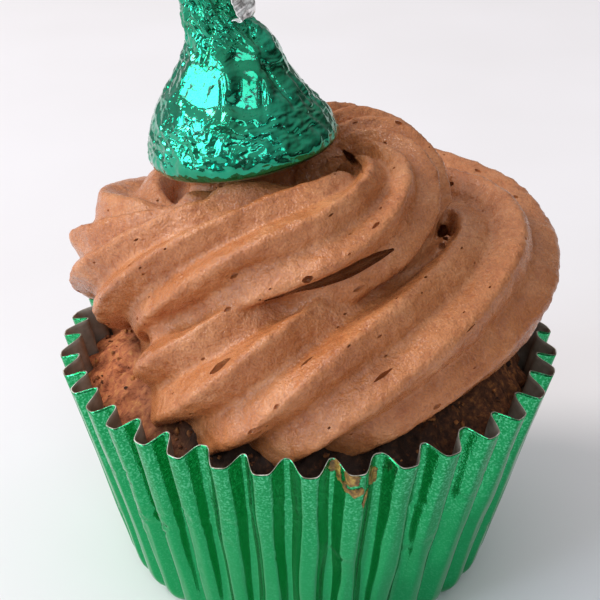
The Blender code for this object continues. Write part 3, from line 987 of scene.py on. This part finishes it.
# %% Pits and tears
# Deep gaps where one turn hangs over the next: pixels and half width in pixels along each.
SEEN_GAPS = (
    ((264, 301, 0.7), (281, 296, 1.6), (298, 290, 2.6), (315, 285, 4.0), (331, 279, 5.4),
     (347, 272, 6.4), (363, 264, 6.0), (379, 256, 4.4), (394, 249, 1.2)),
    ((451, 203, 1.2), (450, 212, 6.4), (447, 221, 8.6), (442, 230, 7.4), (435, 239, 1.6)),
    ((343, 150, 1.0), (350, 157, 4.2), (357, 165, 4.0), (363, 173, 1.0)),
)
GAP_DEPTH = 4.6               # where a gap is widest
GAP_HALF = 0.85               # half the blade's height, as a share of the depth
GAP_SUNK = 0.15               # share of the depth by which its middle lies under the skin
GAP_SIDES = 24
# Pixel across and down, half length and half width in pixels, depth in millimetres.
SEEN_PITS = (
    (220, 366, 15, 9.0, 2.4), (307, 361, 9, 2.2, 1.0), (383, 375, 12, 2.6, 0.9),
    (307, 279, 7, 3.6, 1.5), (359, 289, 7, 2.6, 0.6), (191, 414, 3.2, 2.4, 0.9),
    (267, 426, 2.6, 1.6, 0.8), (329, 428, 2.4, 1.2, 0.7), (451, 184, 5.0, 3.0, 2.0),
    (385, 143, 2.4, 1.6, 0.7), (394, 168, 2.2, 1.6, 0.7), (335, 174, 3.2, 1.4, 0.7),
    (331, 215, 3.8, 1.4, 0.8), (376, 225, 6.5, 2.2, 0.7), (426, 277, 2.6, 1.5, 0.7),
    (490, 287, 2.2, 1.2, 0.7), (136, 240, 3.2, 1.3, 0.7), (140, 268, 2.2, 1.3, 0.7),
    (165, 249, 2.2, 1.2, 0.6), (451, 358, 4.5, 1.2, 0.7), (446, 366, 5.0, 1.2, 0.7),
    (471, 328, 7.5, 1.2, 0.5), (403, 270, 6.5, 2.4, 0.5), (355, 123, 3.4, 1.4, 0.4),
    (462, 248, 2.4, 1.2, 0.6), (475, 263, 1.8, 1.0, 0.5), (489, 254, 1.6, 1.0, 0.5),
    (350, 234, 2.6, 1.2, 0.4), (345, 314, 2.4, 1.3, 0.5), (397, 298, 2.6, 1.2, 0.5),
    (349, 346, 2.4, 1.2, 0.5), (203, 359, 3.0, 1.6, 0.4), (151, 338, 1.8, 1.2, 0.7),
    (270, 289, 1.8, 1.0, 0.5), (260, 300, 1.8, 1.2, 0.5), (526, 239, 3.0, 1.3, 0.4),
    (464, 312, 2.0, 1.0, 0.5), (338, 327, 2.2, 1.1, 0.5), (422, 293, 1.6, 1.0, 0.5),
)
RANDOM_PITS = 170
PIT_RAGGED = 0.12             # how much its outline wanders, as a share of its size
PIT_TAPER = 0.45              # how much narrower it is at its ends
PIT_SUNK = 0.25               # share of its depth by which its middle lies under the skin
pit_draw = np.random.default_rng(5)


def pit_points(ball, centre, normal, along, half_length, half_width, depth, number):
    """A lens with pointed ends, stretched along the ridge; its number makes it ragged in its
    own way."""
    normal = normal / np.linalg.norm(normal)
    along = along - normal * (along @ normal)
    along = along / np.linalg.norm(along)
    across = np.cross(normal, along)
    ball = ball * (1 + PIT_RAGGED * lumps(ball + number, 0.7, 71))[:, None]
    x, y, z = ball.T
    y = y * (1 - PIT_TAPER * np.abs(x) ** 1.5)
    shape = np.outer(x * half_length, along) + np.outer(y * half_width, across)
    sunk = centre - normal * depth * PIT_SUNK
    return sunk + shape + np.outer(z * depth * (1 - PIT_SUNK), normal)


def gap_cutter(path, tree):
    """A blade pressed in along the line of sight, following pixels over the frosting."""
    places = []
    for across, down, wide in path:
        hit, _, _, distance = tree.ray_cast(*line_of_sight(across, down))
        places.append((len(places), *hit / MM, wide * distance / MM / VIEW_PIXELS))
    run = smooth_table(places, np.linspace(0, len(path) - 1, 8 * len(path)))
    middle, wide = run[:, :3], run[:, 3].clip(0.05)
    inward = np.array(line_of_sight(*path[len(path) // 2][:2])[1])
    aside = np.cross(np.gradient(middle, axis=0), inward)
    aside /= np.linalg.norm(aside, axis=1)[:, None]
    turn = circle(GAP_SIDES)[None]
    deep = GAP_DEPTH * (wide / wide.max()) ** 0.7
    reach = (np.cos(turn) * GAP_HALF + GAP_SUNK) * deep[:, None]
    side = np.sin(turn) * wide[:, None]
    return middle[:, None] + reach[..., None] * inward + side[..., None] * aside[:, None]


def all_gaps(piece):
    """One cutter mesh for every gap seen."""
    tree = face_tree(piece)
    print(len(SEEN_GAPS), "gaps between the turns")
    return add_mesh("gaps", *joined([closed_tube(gap_cutter(path, tree)) for path in SEEN_GAPS]))


def ball_mesh(divisions):
    """Points and faces of a unit ball of even triangles."""
    build = bmesh.new()
    bmesh.ops.create_icosphere(build, subdivisions=divisions, radius=1.0)
    points = np.array([v.co for v in build.verts])
    faces = [[v.index for v in face.verts] for face in build.faces]
    build.free()
    return points, faces


fine_ball = ball_mesh(3)
plain_ball = ball_mesh(2)


def all_pits(piece):
    """One cutter mesh for every pit; no two of them touch."""
    tree = face_tree(piece)
    wanted = []
    for across, down, length, width, depth in SEEN_PITS:
        middle, normal, pixel = seen_on(tree, across, down)
        wanted.append((middle, normal, length * pixel, width * pixel, depth))
    points, normals = read_points(piece.data), read_points(piece.data, normals=True)
    for index in pit_draw.choice(len(points), RANDOM_PITS * 3, replace=False):
        size = 0.14 + 0.28 * pit_draw.random() ** 3
        stretch = pit_draw.uniform(1.0, 2.6)
        wanted.append((points[index], normals[index], size * stretch, size, size * 1.6))
    _, _, tangents = rope_lookup(np.array([row[0] for row in wanted]))
    parts, kept = [], []
    for (middle, normal, length, width, depth), tangent in zip(wanted, tangents):
        clear = all(np.linalg.norm(middle - c) > 1.2 * (length + r) + 0.2 for c, r in kept)
        if clear and len(kept) < len(SEEN_PITS) + RANDOM_PITS:
            ball, faces = fine_ball if length > 0.9 else plain_ball
            pit = pit_points(ball, middle, normal, tangent, length, width, depth, len(kept))
            parts.append((pit, faces))
            kept.append((middle, length))
    print(len(SEEN_PITS), "pits seen in the picture,", len(kept) - len(SEEN_PITS), "elsewhere")
    return add_mesh("pits", *joined(parts))


cut(frosting, all_gaps(frosting))
cut(frosting, all_pits(frosting))
keep_largest_body("frosting:", frosting.data)

# %% [markdown]
# ## Finish: whipped chocolate frosting
# Butter whipped with sugar and cocoa is a soft satin solid.  Light goes a little way in and comes
# out warmer, so the shader has some subsurface scattering.  Sugar and fat grains of a tenth of a
# millimetre sparkle on the lit side of each ridge; in the tone the grain runs from darker specks to
# near white ones, and the near white ones are painted glints, on every side alike.  The grains are
# drawn at 0.26 mm so that they last in the render.  Between them the skin is finely dimpled where
# small bubbles burst, and the bottoms of the dimples are darkened in the tone as painted shade.

# %% Frosting finish
FROSTING_GRAIN = 0.26
DIMPLE = 1.2


def whipped_frosting():
    """Satin and grainy: warm brown, with painted glints in the grain and painted shade in the
    dimples.
    """
    made, tree, where = new_finish("whipped chocolate frosting", {
        "Specular IOR Level": 0.5, "IOR": 1.45, "Subsurface Weight": 0.06,
        "Subsurface Scale": 1.0 * MM, "Subsurface Radius": (1.0, 0.45, 0.25)})
    broad = add_node(tree, "TexNoise", "Fac", {"Vector": where},
                     {"Scale": per_mm(6.0), "Detail": 3.0})
    grain = add_node(tree, "TexNoise", "Fac", {"Vector": where},
                     {"Scale": per_mm(FROSTING_GRAIN), "Detail": 2.0, "Roughness": 0.6})
    dimples = add_node(tree, "TexNoise", "Fac", {"Vector": where},
                       {"Scale": per_mm(DIMPLE), "Detail": 2.0, "Roughness": 0.6})
    tone = add_node(tree, "ValToRGB", "Color", {"Fac": broad},
                    stops=((0.32, "#B46E41"), (0.5, "#C07A4B"), (0.68, "#CC895B")))
    # Painted shade: the tone is darkened in the bottoms of the dimples.
    painted_dimple_shade = add_node(tree, "ValToRGB", "Color", {"Fac": dimples},
                      stops=((0.34, "#C08A62"), (0.48, "#FFFFFF"), (0.62, "#FFFFFF")))
    tone = add_node(tree, "Mix", 2, {6: tone, 7: painted_dimple_shade}, {0: 0.25}, data_type="RGBA",
                    blend_type="MULTIPLY")
    # The grain's tone, with darker specks and near white ones; the near white ones are painted
    # glints.
    grain_and_painted_glints = add_node(tree, "ValToRGB", "Color", {"Fac": grain},
                      stops=((0.34, "#8A6044"), (0.47, "#D4BAA2"), (0.60, "#FFFFFF")))
    tone = add_node(tree, "Mix", 2, {6: tone, 7: grain_and_painted_glints}, {0: 0.36}, data_type="RGBA",
                    blend_type="MULTIPLY")
    shine = add_node(tree, "ValToRGB", "Color", {"Fac": grain},
                     stops=((0.44, "#9C9C9C"), (0.62, "#565656")))
    soft = add_node(tree, "Bump", "Normal", {"Height": dimples},
                    {"Distance": 0.60 * MM, "Strength": 0.55})
    fine = add_node(tree, "Bump", "Normal", {"Height": grain, "Normal": soft},
                    {"Distance": 0.12 * MM, "Strength": 1.0})
    finish_with(tree, Base_Color=tone, Roughness=shine, Normal=fine)
    return made


frosting.data.materials.clear()
frosting.data.materials.append(whipped_frosting())
frosting.data.shade_smooth()
frosting.data.set_sharp_from_angle(angle=math.radians(50))
dress(frosting, "frosting", "frosting")

# %% [markdown]
# ## The foil-wrapped drop
# A chocolate drop is a turned bell, and its foil was gathered over it and twisted at the top.  The
# bell's profile is revolved, and then the foil is folded over it: long folds that all run into the
# twist, a few flat facets on the belly, and small creases where fingers pressed it.  Cloth
# simulation could wrinkle it, but foil keeps creases instead of springing back, so zigzag noise
# with straight creases is nearer.  Its strength grows from the smooth foot to the crushed neck.

# %% Foil over the drop
DROP_TOP = DROP_PROFILE[-1][0]
DROP_COLUMNS = 300
DROP_ROWS = 190
# Folds seen in the picture: from pixel, to pixel, depth (a groove is negative) and half width, mm.
SEEN_FOLDS = (
    ((190, 4), (184, 48), -0.5, 0.40), ((187, 34), (163, 96), -0.45, 0.40),
    ((243, 12), (264, 70), -0.55, 0.40), ((250, 20), (288, 72), 0.45, 0.70),
    ((258, 54), (296, 108), -0.35, 0.40), ((203, 66), (214, 22), -0.3, 0.35),
    ((222, 76), (221, 126), -0.16, 0.30), ((229, 70), (231, 122), 0.14, 0.40),
    ((259, 36), (264, 116), -0.30, 0.30), ((280, 60), (314, 104), -0.25, 0.35),
    ((300, 82), (328, 122), 0.2, 0.45), ((160, 150), (190, 178), 0.10, 0.45),
    ((213, 140), (218, 182), -0.14, 0.28), ((231, 142), (236, 180), -0.16, 0.28),
    ((261, 134), (266, 174), -0.14, 0.28), ((288, 124), (300, 162), -0.14, 0.28),
    ((191, 134), (188, 182), -0.10, 0.28),
)
# Flat facets pressed into the foil: pixel of the middle, radius in millimetres, way it faces.
SEEN_FACETS = (
    ((247, 60), 2.0, (0.07, -0.89, 0.445)), ((247, 90), 3.0, (0.07, -0.89, 0.445)),
    ((204, 84), 3.6, (-0.45, -0.81, 0.37)),
)
FACET_SUNK = 0.25             # how far a facet's plane lies under the smooth bell
FACET_EDGE = (0.8, 1.3)       # it fades out between these shares of its radius
FACET_FLAT = 0.9              # 1 would press it quite flat
FACET_REACH = 2.0             # points deeper than this under the plane stay as they are


def drop_middle(height):
    """How far the middle line strays towards +X at each height."""
    return smooth_table(DROP_PROFILE, np.atleast_1d(height))[:, 1]


def drop_rings():
    """Rings of the smooth bell in its own frame: foot, side and closed tip."""
    turn = circle(DROP_COLUMNS)
    foot_heights = np.linspace(0.0, 2.0, 18)[:-1]
    heights = np.concatenate([foot_heights, np.linspace(2.0, DROP_TOP, DROP_ROWS)])
    radii, sways = smooth_table(DROP_PROFILE, heights).T
    wave = np.cos(3 * turn + 0.4) + 0.5 * np.cos(5 * turn + 2.0)
    folds = 0.10 * (heights[:, None] / DROP_TOP) ** 2 * wave[None, :]
    rows = [(radii[0] * share, 0.0, 0.0, sways[0]) for share in (0.1, 0.5, 0.8, 0.93)]
    rows += list(zip(radii, heights, folds, sways))
    rows += [(radii[-1] * share, DROP_TOP + 0.25 * (1 - share), folds[-1], sways[-1])
             for share in (0.85, 0.6, 0.35, 0.12)]
    rings = []
    for radius, height, fold, sway in rows:
        reach = radius * (1 + fold)
        x = reach * np.cos(turn) + sway
        rings.append(np.stack([x, reach * np.sin(turn), np.full(DROP_COLUMNS, height)], -1))
    return np.array(rings)


def folds_seen(points, tree):
    """Relief of the folds that the picture shows, laid on the drop's face."""
    height = np.zeros(len(points))
    for first, second, depth, width in SEEN_FOLDS:
        start, end = (seen_on(tree, *pixel)[0] for pixel in (first, second))
        run = end - start
        share = (points - start) @ run / (run @ run)
        off = np.linalg.norm(points - start - np.outer(share.clip(0, 1), run), axis=1)
        fade = np.sqrt(np.clip(1 - (2 * share - 1) ** 2, 0, 1))
        height += depth * fade * np.exp(-(off / width) ** 2)
    return height


def press_facets(points, tree):
    """Flatten the foil towards a plane round each facet's middle, and say how flat it is."""
    flat = np.zeros(len(points))
    for pixel, radius, facing in SEEN_FACETS:
        facing = np.array(facing) / np.linalg.norm(facing)
        middle = seen_on(tree, *pixel)[0] - FACET_SUNK * facing
        above = (points - middle) @ facing
        away = np.linalg.norm(points - middle, axis=1) / radius
        near = (1 - eased(ramp(away, *FACET_EDGE))) * (above > -FACET_REACH)
        points -= np.outer(above * near * FACET_FLAT, facing)
        flat = np.maximum(flat, near)
    return flat


def make_drop(foil):
    """The bell with the facets and folds seen in the picture over creases of many sizes."""
    own, faces = closed_tube(drop_rings())
    piece = add_mesh("foil_wrapped_drop", placed(own, drop_matrix()), faces, (foil,))
    mesh, tree = piece.data, face_tree(piece)
    up = (own[:, 2] / DROP_TOP).clip(0, 1)
    turn = np.arctan2(own[:, 1], own[:, 0] - drop_middle(own[:, 2]))
    points = read_points(mesh)
    calm = 1 - 0.62 * press_facets(points, tree)
    write_points(mesh, points)

    def gathered(radius, squash):
        """The drop laid on a narrow tube, so that creases on it run up into the twist."""
        return np.stack([radius * np.cos(turn), radius * np.sin(turn), own[:, 2] / squash], -1)

    foot = np.exp(-((up - 0.12) / 0.09) ** 2)
    band = np.exp(-((up - 0.20) / 0.09) ** 2)
    belly = np.exp(-((up - 0.36) / 0.26) ** 2)
    neck = ramp(up, 0.5, 0.75)
    warped = own + 0.9 * lumps(own, 3.5, 83)[:, None] + 0.3 * lumps(own, 1.2, 86)[:, None]
    tangled = warped + 0.3 * lumps(own, 0.8, 89)[:, None]
    # For each layer of creases: the points it is read at, its size, its seed and its relief.
    layers = ((gathered(4.0, 5.0), 2.2, 81, (0.05 + 0.65 * up ** 2) * calm),
              (gathered(4.0, 5.0), 0.9, 82, (0.05 + 0.30 * up ** 2) * calm),
              (warped, 5.5, 84, 0.34 * belly * calm),
              (warped, 1.7, 87, (0.17 + 0.16 * band + 0.24 * neck) * calm),
              (tangled, 0.8, 88, (0.06 + 0.11 * band + 0.12 * neck) * calm),
              (gathered(6.0, 8.0), 1.1, 90, 0.22 * foot))
    relief = sum(crumple(place, size, seed) * high for place, size, seed, high in layers)
    relief *= ramp(own[:, 2], 0.1, 1.3)
    relief += folds_seen(points, tree)
    push_out(mesh, relief.clip(-1.1, 0.8))
    return piece


print(len(SEEN_FOLDS), "folds and", len(SEEN_FACETS), "facets were read off the picture")

# %% [markdown]
# ## Finish: coloured aluminium foil
# Wrapping foil is bright aluminium with a transparent green lacquer, so it is a metal whose
# reflections are green.  Roughness is low but not mirror-like, because rolling leaves fine lines
# and handling leaves tiny dents; those are the bump.  A metal keeps the default IOR.

# %% Drop finish
def wrapping_foil():
    """Aluminium under green lacquer: green mirror, with the lacquer's own pale gloss on top."""
    made, tree, where = new_finish("green aluminium foil", {
        "Metallic": 1.0, "Coat Weight": 0.6, "Coat Roughness": 0.16})
    dents = add_node(tree, "TexNoise", "Fac", {"Vector": where},
                     {"Scale": per_mm(0.7), "Detail": 3.0, "Roughness": 0.6})
    broad = add_node(tree, "TexNoise", "Fac", {"Vector": where},
                     {"Scale": per_mm(5.0), "Detail": 1.0})
    tone = add_node(tree, "ValToRGB", "Color", {"Fac": broad},
                    stops=((0.35, "#0A8A62"), (0.65, "#109A76")))
    rub = add_node(tree, "ValToRGB", "Color", {"Fac": dents},
                   stops=((0.3, "#565656"), (0.7, "#3A3A3A")))
    facets = add_node(tree, "TexVoronoi", "Distance", {"Vector": where},
                      {"Scale": per_mm(1.3), "Detail": 1.0, "Randomness": 1.0})
    folded = add_node(tree, "Bump", "Normal", {"Height": facets},
                      {"Distance": 0.20 * MM, "Strength": 0.35})
    relief = add_node(tree, "Bump", "Normal", {"Height": dents, "Normal": folded},
                      {"Distance": 0.08 * MM, "Strength": 0.4})
    finish_with(tree, Base_Color=tone, Roughness=rub, Normal=relief)
    return made


drop = make_drop(wrapping_foil())
drop.data.set_sharp_from_angle(angle=math.radians(50))
dress(drop, "green_foil", "foil_drop")

# %% [markdown]
# ## The paper flag
# A thin silvery strip is wrapped in with the chocolate and sticks out beside the twist.  It was
# crumpled, so it is a narrow grid that follows the solid's rising wave, with creases across it and
# a real thickness.  It starts inside the foil, so that it comes out of the folds.

# %% Flag
FLAG_WIDTH, FLAG_LENGTH, FLAG_THICK = 4.2, 12.0, 0.12
FLAG_EXIT = 17.6              # height on the drop's neck where it comes out
FLAG_SIDE = -32.0             # azimuth of that place on the drop
NECK_REACH = 5.3              # from the drop's middle line to that place
FLAG_ROWS, FLAG_COLUMNS = 100, 30


def flag_points():
    """The strip's middle line leaves the neck, rises and waves."""
    share = np.linspace(-0.12, 1.0, FLAG_ROWS)      # its first rows lie inside the foil
    rising = 80 - 60 * share + 38 * np.sin(9 * share)      # degrees above the level
    heading = np.radians(np.where(share < 0, 15.0, rising))
    step = FLAG_LENGTH * (share[1] - share[0])
    start = int(np.argmin(np.abs(share)))
    x, z = np.cumsum(np.cos(heading)) * step, np.cumsum(np.sin(heading)) * step
    half = FLAG_WIDTH / 2 * (0.8 + 0.2 * np.clip(share * 3, 0, 1))
    across = np.linspace(-1, 1, FLAG_COLUMNS)
    grid = np.empty((FLAG_ROWS, FLAG_COLUMNS, 3))
    grid[..., 0] = NECK_REACH + (x - x[start])[:, None]
    grid[..., 1] = half[:, None] * across
    grid[..., 2] = (z - z[start])[:, None] + 0.5 * np.sin(7 * share)[:, None] * across
    turn = np.array(Matrix.Rotation(math.radians(FLAG_SIDE), 3, "Z"))
    return grid @ turn.T + np.array([float(drop_middle(FLAG_EXIT)[0]), 0.0, FLAG_EXIT])


def make_flag(paper):
    """The strip with sharp creases of two sizes and its thickness."""
    flat = flag_points().reshape(-1, 3)
    faces = grid_quads(FLAG_ROWS, FLAG_COLUMNS, closed=False)[:, [0, 3, 2, 1]]
    piece = add_mesh("crumpled_flag", placed(flat, drop_matrix()), faces.tolist(), (paper,))
    push_out(piece.data, 0.34 * crumple(flat, 1.6, 91, 5) + 0.16 * crumple(flat, 0.7, 92, 5))
    modify(piece, "SOLIDIFY", thickness=FLAG_THICK * MM, offset=0.0)
    piece.data.set_sharp_from_angle(angle=math.radians(35))
    return piece


# Thin white tissue with a silvery side: grey, with near white patches in the tone that are painted
# glints.
tissue = mottled_finish(
    "silvered tissue strip", {"Roughness": 0.28, "Metallic": 0.7},
    {"Scale": per_mm(0.8), "Detail": 2.0}, ((0.38, "#B9B6B4"), (0.56, "#F6F5F3")),
    {"Distance": 0.1 * MM, "Strength": 0.7})

flag = make_flag(tissue)
dress(flag, "white_paper", "paper_flag")

# %% [markdown]
# ## Loose crumbs and the batter smear
# Two small things make it a home-baked cake.  Crumbs broke off the sponge's edge and lie on it,
# and a drop of batter ran over the rim in front and baked on.  The crumbs are real bits of mesh,
# joined into one piece, each set on the sponge by a line dropped from above.  The smear is a thin
# uneven crust that follows the paper's own folds.

# %% Crumbs
CRUMBS = 190
crumb_draw = np.random.default_rng(3)


def make_crumbs(finish):
    """Ragged bits laid on the sponge where a line from above meets it."""
    tree = face_tree(sponge)
    ball, ball_faces = plain_ball
    parts = []
    for index in range(CRUMBS):
        azimuth = crumb_draw.uniform(0, 2 * math.pi)
        radius = crumb_draw.uniform(25.0, 30.3)
        size = 0.14 + 0.34 * crumb_draw.random() ** 2
        above = Vector((radius * math.cos(azimuth), radius * math.sin(azimuth), 60.0)) * MM
        hit = tree.ray_cast(above, Vector((0, 0, -1)))[0]
        if hit is None:
            continue
        ragged = ball * (1 + 0.6 * lumps(ball + 3 * index, 0.5, 95).clip(-0.8, 0.9))[:, None]
        ragged = ragged * crumb_draw.uniform(0.6, 1.2, 3) * size
        parts.append((ragged + np.array(hit) / MM + np.array([0, 0, 0.3 * size]), ball_faces))
    return add_mesh("loose_crumbs", *joined(parts), (finish,))


# Dry crumbs: some nearly black, some toasted orange-brown.
dry_crumb = mottled_finish(
    "dry crumb", {"Roughness": 0.9}, {"Scale": per_mm(1.2), "Detail": 3.0},
    ((0.36, "#2A1710"), (0.5, "#7C4624"), (0.66, "#C57E42")),
    {"Distance": 0.1 * MM, "Strength": 0.7})

crumbs = make_crumbs(dry_crumb)
dress(crumbs, "sponge")

# %% Smear
# Blobs of the smear: pixel across and down, half width and half height in millimetres.
SEEN_BLOBS = (
    (351, 482, 1.1, 1.6), (356, 494, 0.9, 1.3), (345, 487, 0.6, 0.9), (366, 497, 0.7, 1.6),
    (364, 503, 0.5, 1.2), (371, 478, 0.8, 1.4), (334, 466, 0.9, 1.5), (338, 474, 0.7, 1.0),
)
SMEAR_ROWS, SMEAR_COLUMNS = 110, 150
SMEAR_WALL = (0.62, 0.999)    # the part of the wall's height that it may cover
SMEAR_SIDE = 0.8              # and how many pleats past its outer blobs
SMEAR_THICK = 0.12


def make_smear(finish):
    """A thin crust where the blobs cover the paper, following its folds."""
    tree = face_tree(case)
    spots = np.array([seen_on(tree, across, down)[0] for across, down, _, _ in SEEN_BLOBS])
    places = np.linspace(0, PLEATS, 4001)
    around = np.arctan2(spots[:, 1], spots[:, 0])
    around += 2 * np.pi * (around < pleat_azimuth(0.0))
    middle = np.interp(around, pleat_azimuth(places), places)
    place = np.linspace(middle.min() - SMEAR_SIDE, middle.max() + SMEAR_SIDE, SMEAR_COLUMNS)
    share, place = np.meshgrid(np.linspace(*SMEAR_WALL, SMEAR_ROWS), place, indexing="ij")
    skin = case_skin(share, place)
    azimuth = pleat_azimuth(place)
    outward = np.stack([np.cos(azimuth), np.sin(azimuth), 0 * azimuth], -1)
    skin += outward * paper_relief(share, place)[..., None]
    cover = np.full(share.shape, -9.0)
    for spot, (_, _, half_width, half_height) in zip(spots, SEEN_BLOBS):
        gap = skin - spot
        flat = np.hypot(gap[..., 0], gap[..., 1]) / half_width
        cover = np.maximum(cover, 1 - np.hypot(flat, gap[..., 2] / half_height))
    cover += 0.55 * rough(skin.reshape(-1, 3), 0.9, 97).reshape(share.shape)
    grit = lumps(skin.reshape(-1, 3), 0.4, 98).reshape(share.shape)
    lift = 0.05 + 0.22 * np.clip(cover, 0, 1) + 0.05 * grit
    points = (skin + outward * lift[..., None]).reshape(-1, 3)
    quads = grid_quads(SMEAR_ROWS, SMEAR_COLUMNS, closed=False)
    covered = (cover.ravel()[quads] > 0).all(axis=1)
    used, faces = np.unique(quads[covered], return_inverse=True)
    piece = add_mesh("batter_smear", points[used], faces.reshape(-1, 4).tolist(), (finish,))
    modify(piece, "SOLIDIFY", thickness=SMEAR_THICK * MM, offset=-1.0)
    return piece


# Batter that ran over and baked on: yellow-brown and slightly greasy.
baked_batter = mottled_finish(
    "baked batter", {"Roughness": 0.55},
    {"Scale": per_mm(0.8), "Detail": 3.0, "Roughness": 0.6},
    ((0.34, "#4A3A14"), (0.5, "#8C6428"), (0.66, "#C2A04A")),
    {"Distance": 0.15 * MM, "Strength": 0.7})

smear = make_smear(baked_batter)
dress(smear, "sponge")

# %% [markdown]
# ## Floor and light
# The cake stands on a plain pale floor in soft daylight that comes from high on the left.  A large
# lamp plays the bright part of the sky.  Foil shows only what it mirrors, so five weak, small lamps
# stand in for windows, each where a facet of the drop throws its picture at the camera.  The world
# is bright above and to the left and dim elsewhere, so that the foil has something dark to mirror
# and the ridges have a shaded side.

# %% Floor
FLOOR_HALF = 6000.0           # wide enough that its far edge stays out of low views

# A pale painted floor, matt and very slightly worn.
paint = mottled_finish(
    "pale painted floor", {"Roughness": 0.6}, {"Scale": per_mm(60.0), "Detail": 2.0},
    ((0.3, "#E9E3E4"), (0.7, "#EDE7E9")))

floor_corners = FLOOR_HALF * np.array([[-1, -1, 0], [1, -1, 0], [1, 1, 0], [-1, 1, 0]])
floor = add_mesh("floor", floor_corners, [(0, 1, 2, 3)], (paint,))
print("floor", 2 * FLOOR_HALF * MM, "m wide")

# %% Light
LAMPS = (                      # name, place and width in metres, watts and colour
    ("sky side", (-1.16, 0.12, 1.12), 0.60, 14.4, "#FFFAF4"),
    ("low window", (-0.72, -0.43, 0.36), 0.44, 3.2, "#D8EEFF"),
    ("front window", (0.10, -0.80, 0.60), 0.38, 1.20, "#D4ECFF"),
    ("high window", (-0.45, -0.55, 0.75), 0.16, 0.50, "#D4ECFF"),
    ("left window", (-1.00, -0.05, 0.20), 0.20, 0.60, "#D4ECFF"),
    ("right window", (0.62, -0.62, 0.45), 0.14, 0.15, "#D4ECFF"),
)
BRIGHT_WAY = (-0.30, 0.10, 0.95)      # where the sky is brightest: high and to the left
WORLD_STRENGTH = 0.53


def make_lamp(name, place, size, power, tint):
    """A round soft lamp that looks at the cake."""
    light = bpy.data.lights.new(name, "AREA")
    light.shape = "DISK"
    light.size = size
    light.energy = power
    light.color = colour(tint)[:3]
    lamp = add_object(name, light)
    lamp.location = place
    lamp.rotation_euler = (Vector(place) - VIEW_AIM * MM).to_track_quat("Z", "Y").to_euler()
    return lamp


def make_world():
    """Brighter above and to the left, dimmer to the right and in front."""
    world = bpy.data.worlds.new("soft daylight")
    world.use_nodes = True
    bpy.context.scene.world = world
    tree = world.node_tree
    way = add_node(tree, "TexCoord", "Generated")
    toward = add_node(tree, "VectorMath", "Value", {0: way}, {1: BRIGHT_WAY},
                      operation="DOT_PRODUCT")
    level = add_node(tree, "MapRange", "Result", {"Value": toward},
                     {"From Min": -0.2, "From Max": 0.95, "To Min": 0.12, "To Max": 1.6})
    sky = add_node(tree, "ValToRGB", "Color", {"Fac": level},
                   stops=((0.1, "#E9E2DA"), (1.0, "#FBFDFF")))
    light = add_node(tree, "Math", 0, {0: level}, {1: WORLD_STRENGTH}, operation="MULTIPLY")
    ground = tree.nodes["Background"]
    tree.links.new(sky, ground.inputs["Color"])
    tree.links.new(light, ground.inputs["Strength"])


for lamp_row in LAMPS:
    print("lamp:", make_lamp(*lamp_row).name)
make_world()
bpy.context.scene.view_settings.view_transform = "Standard"
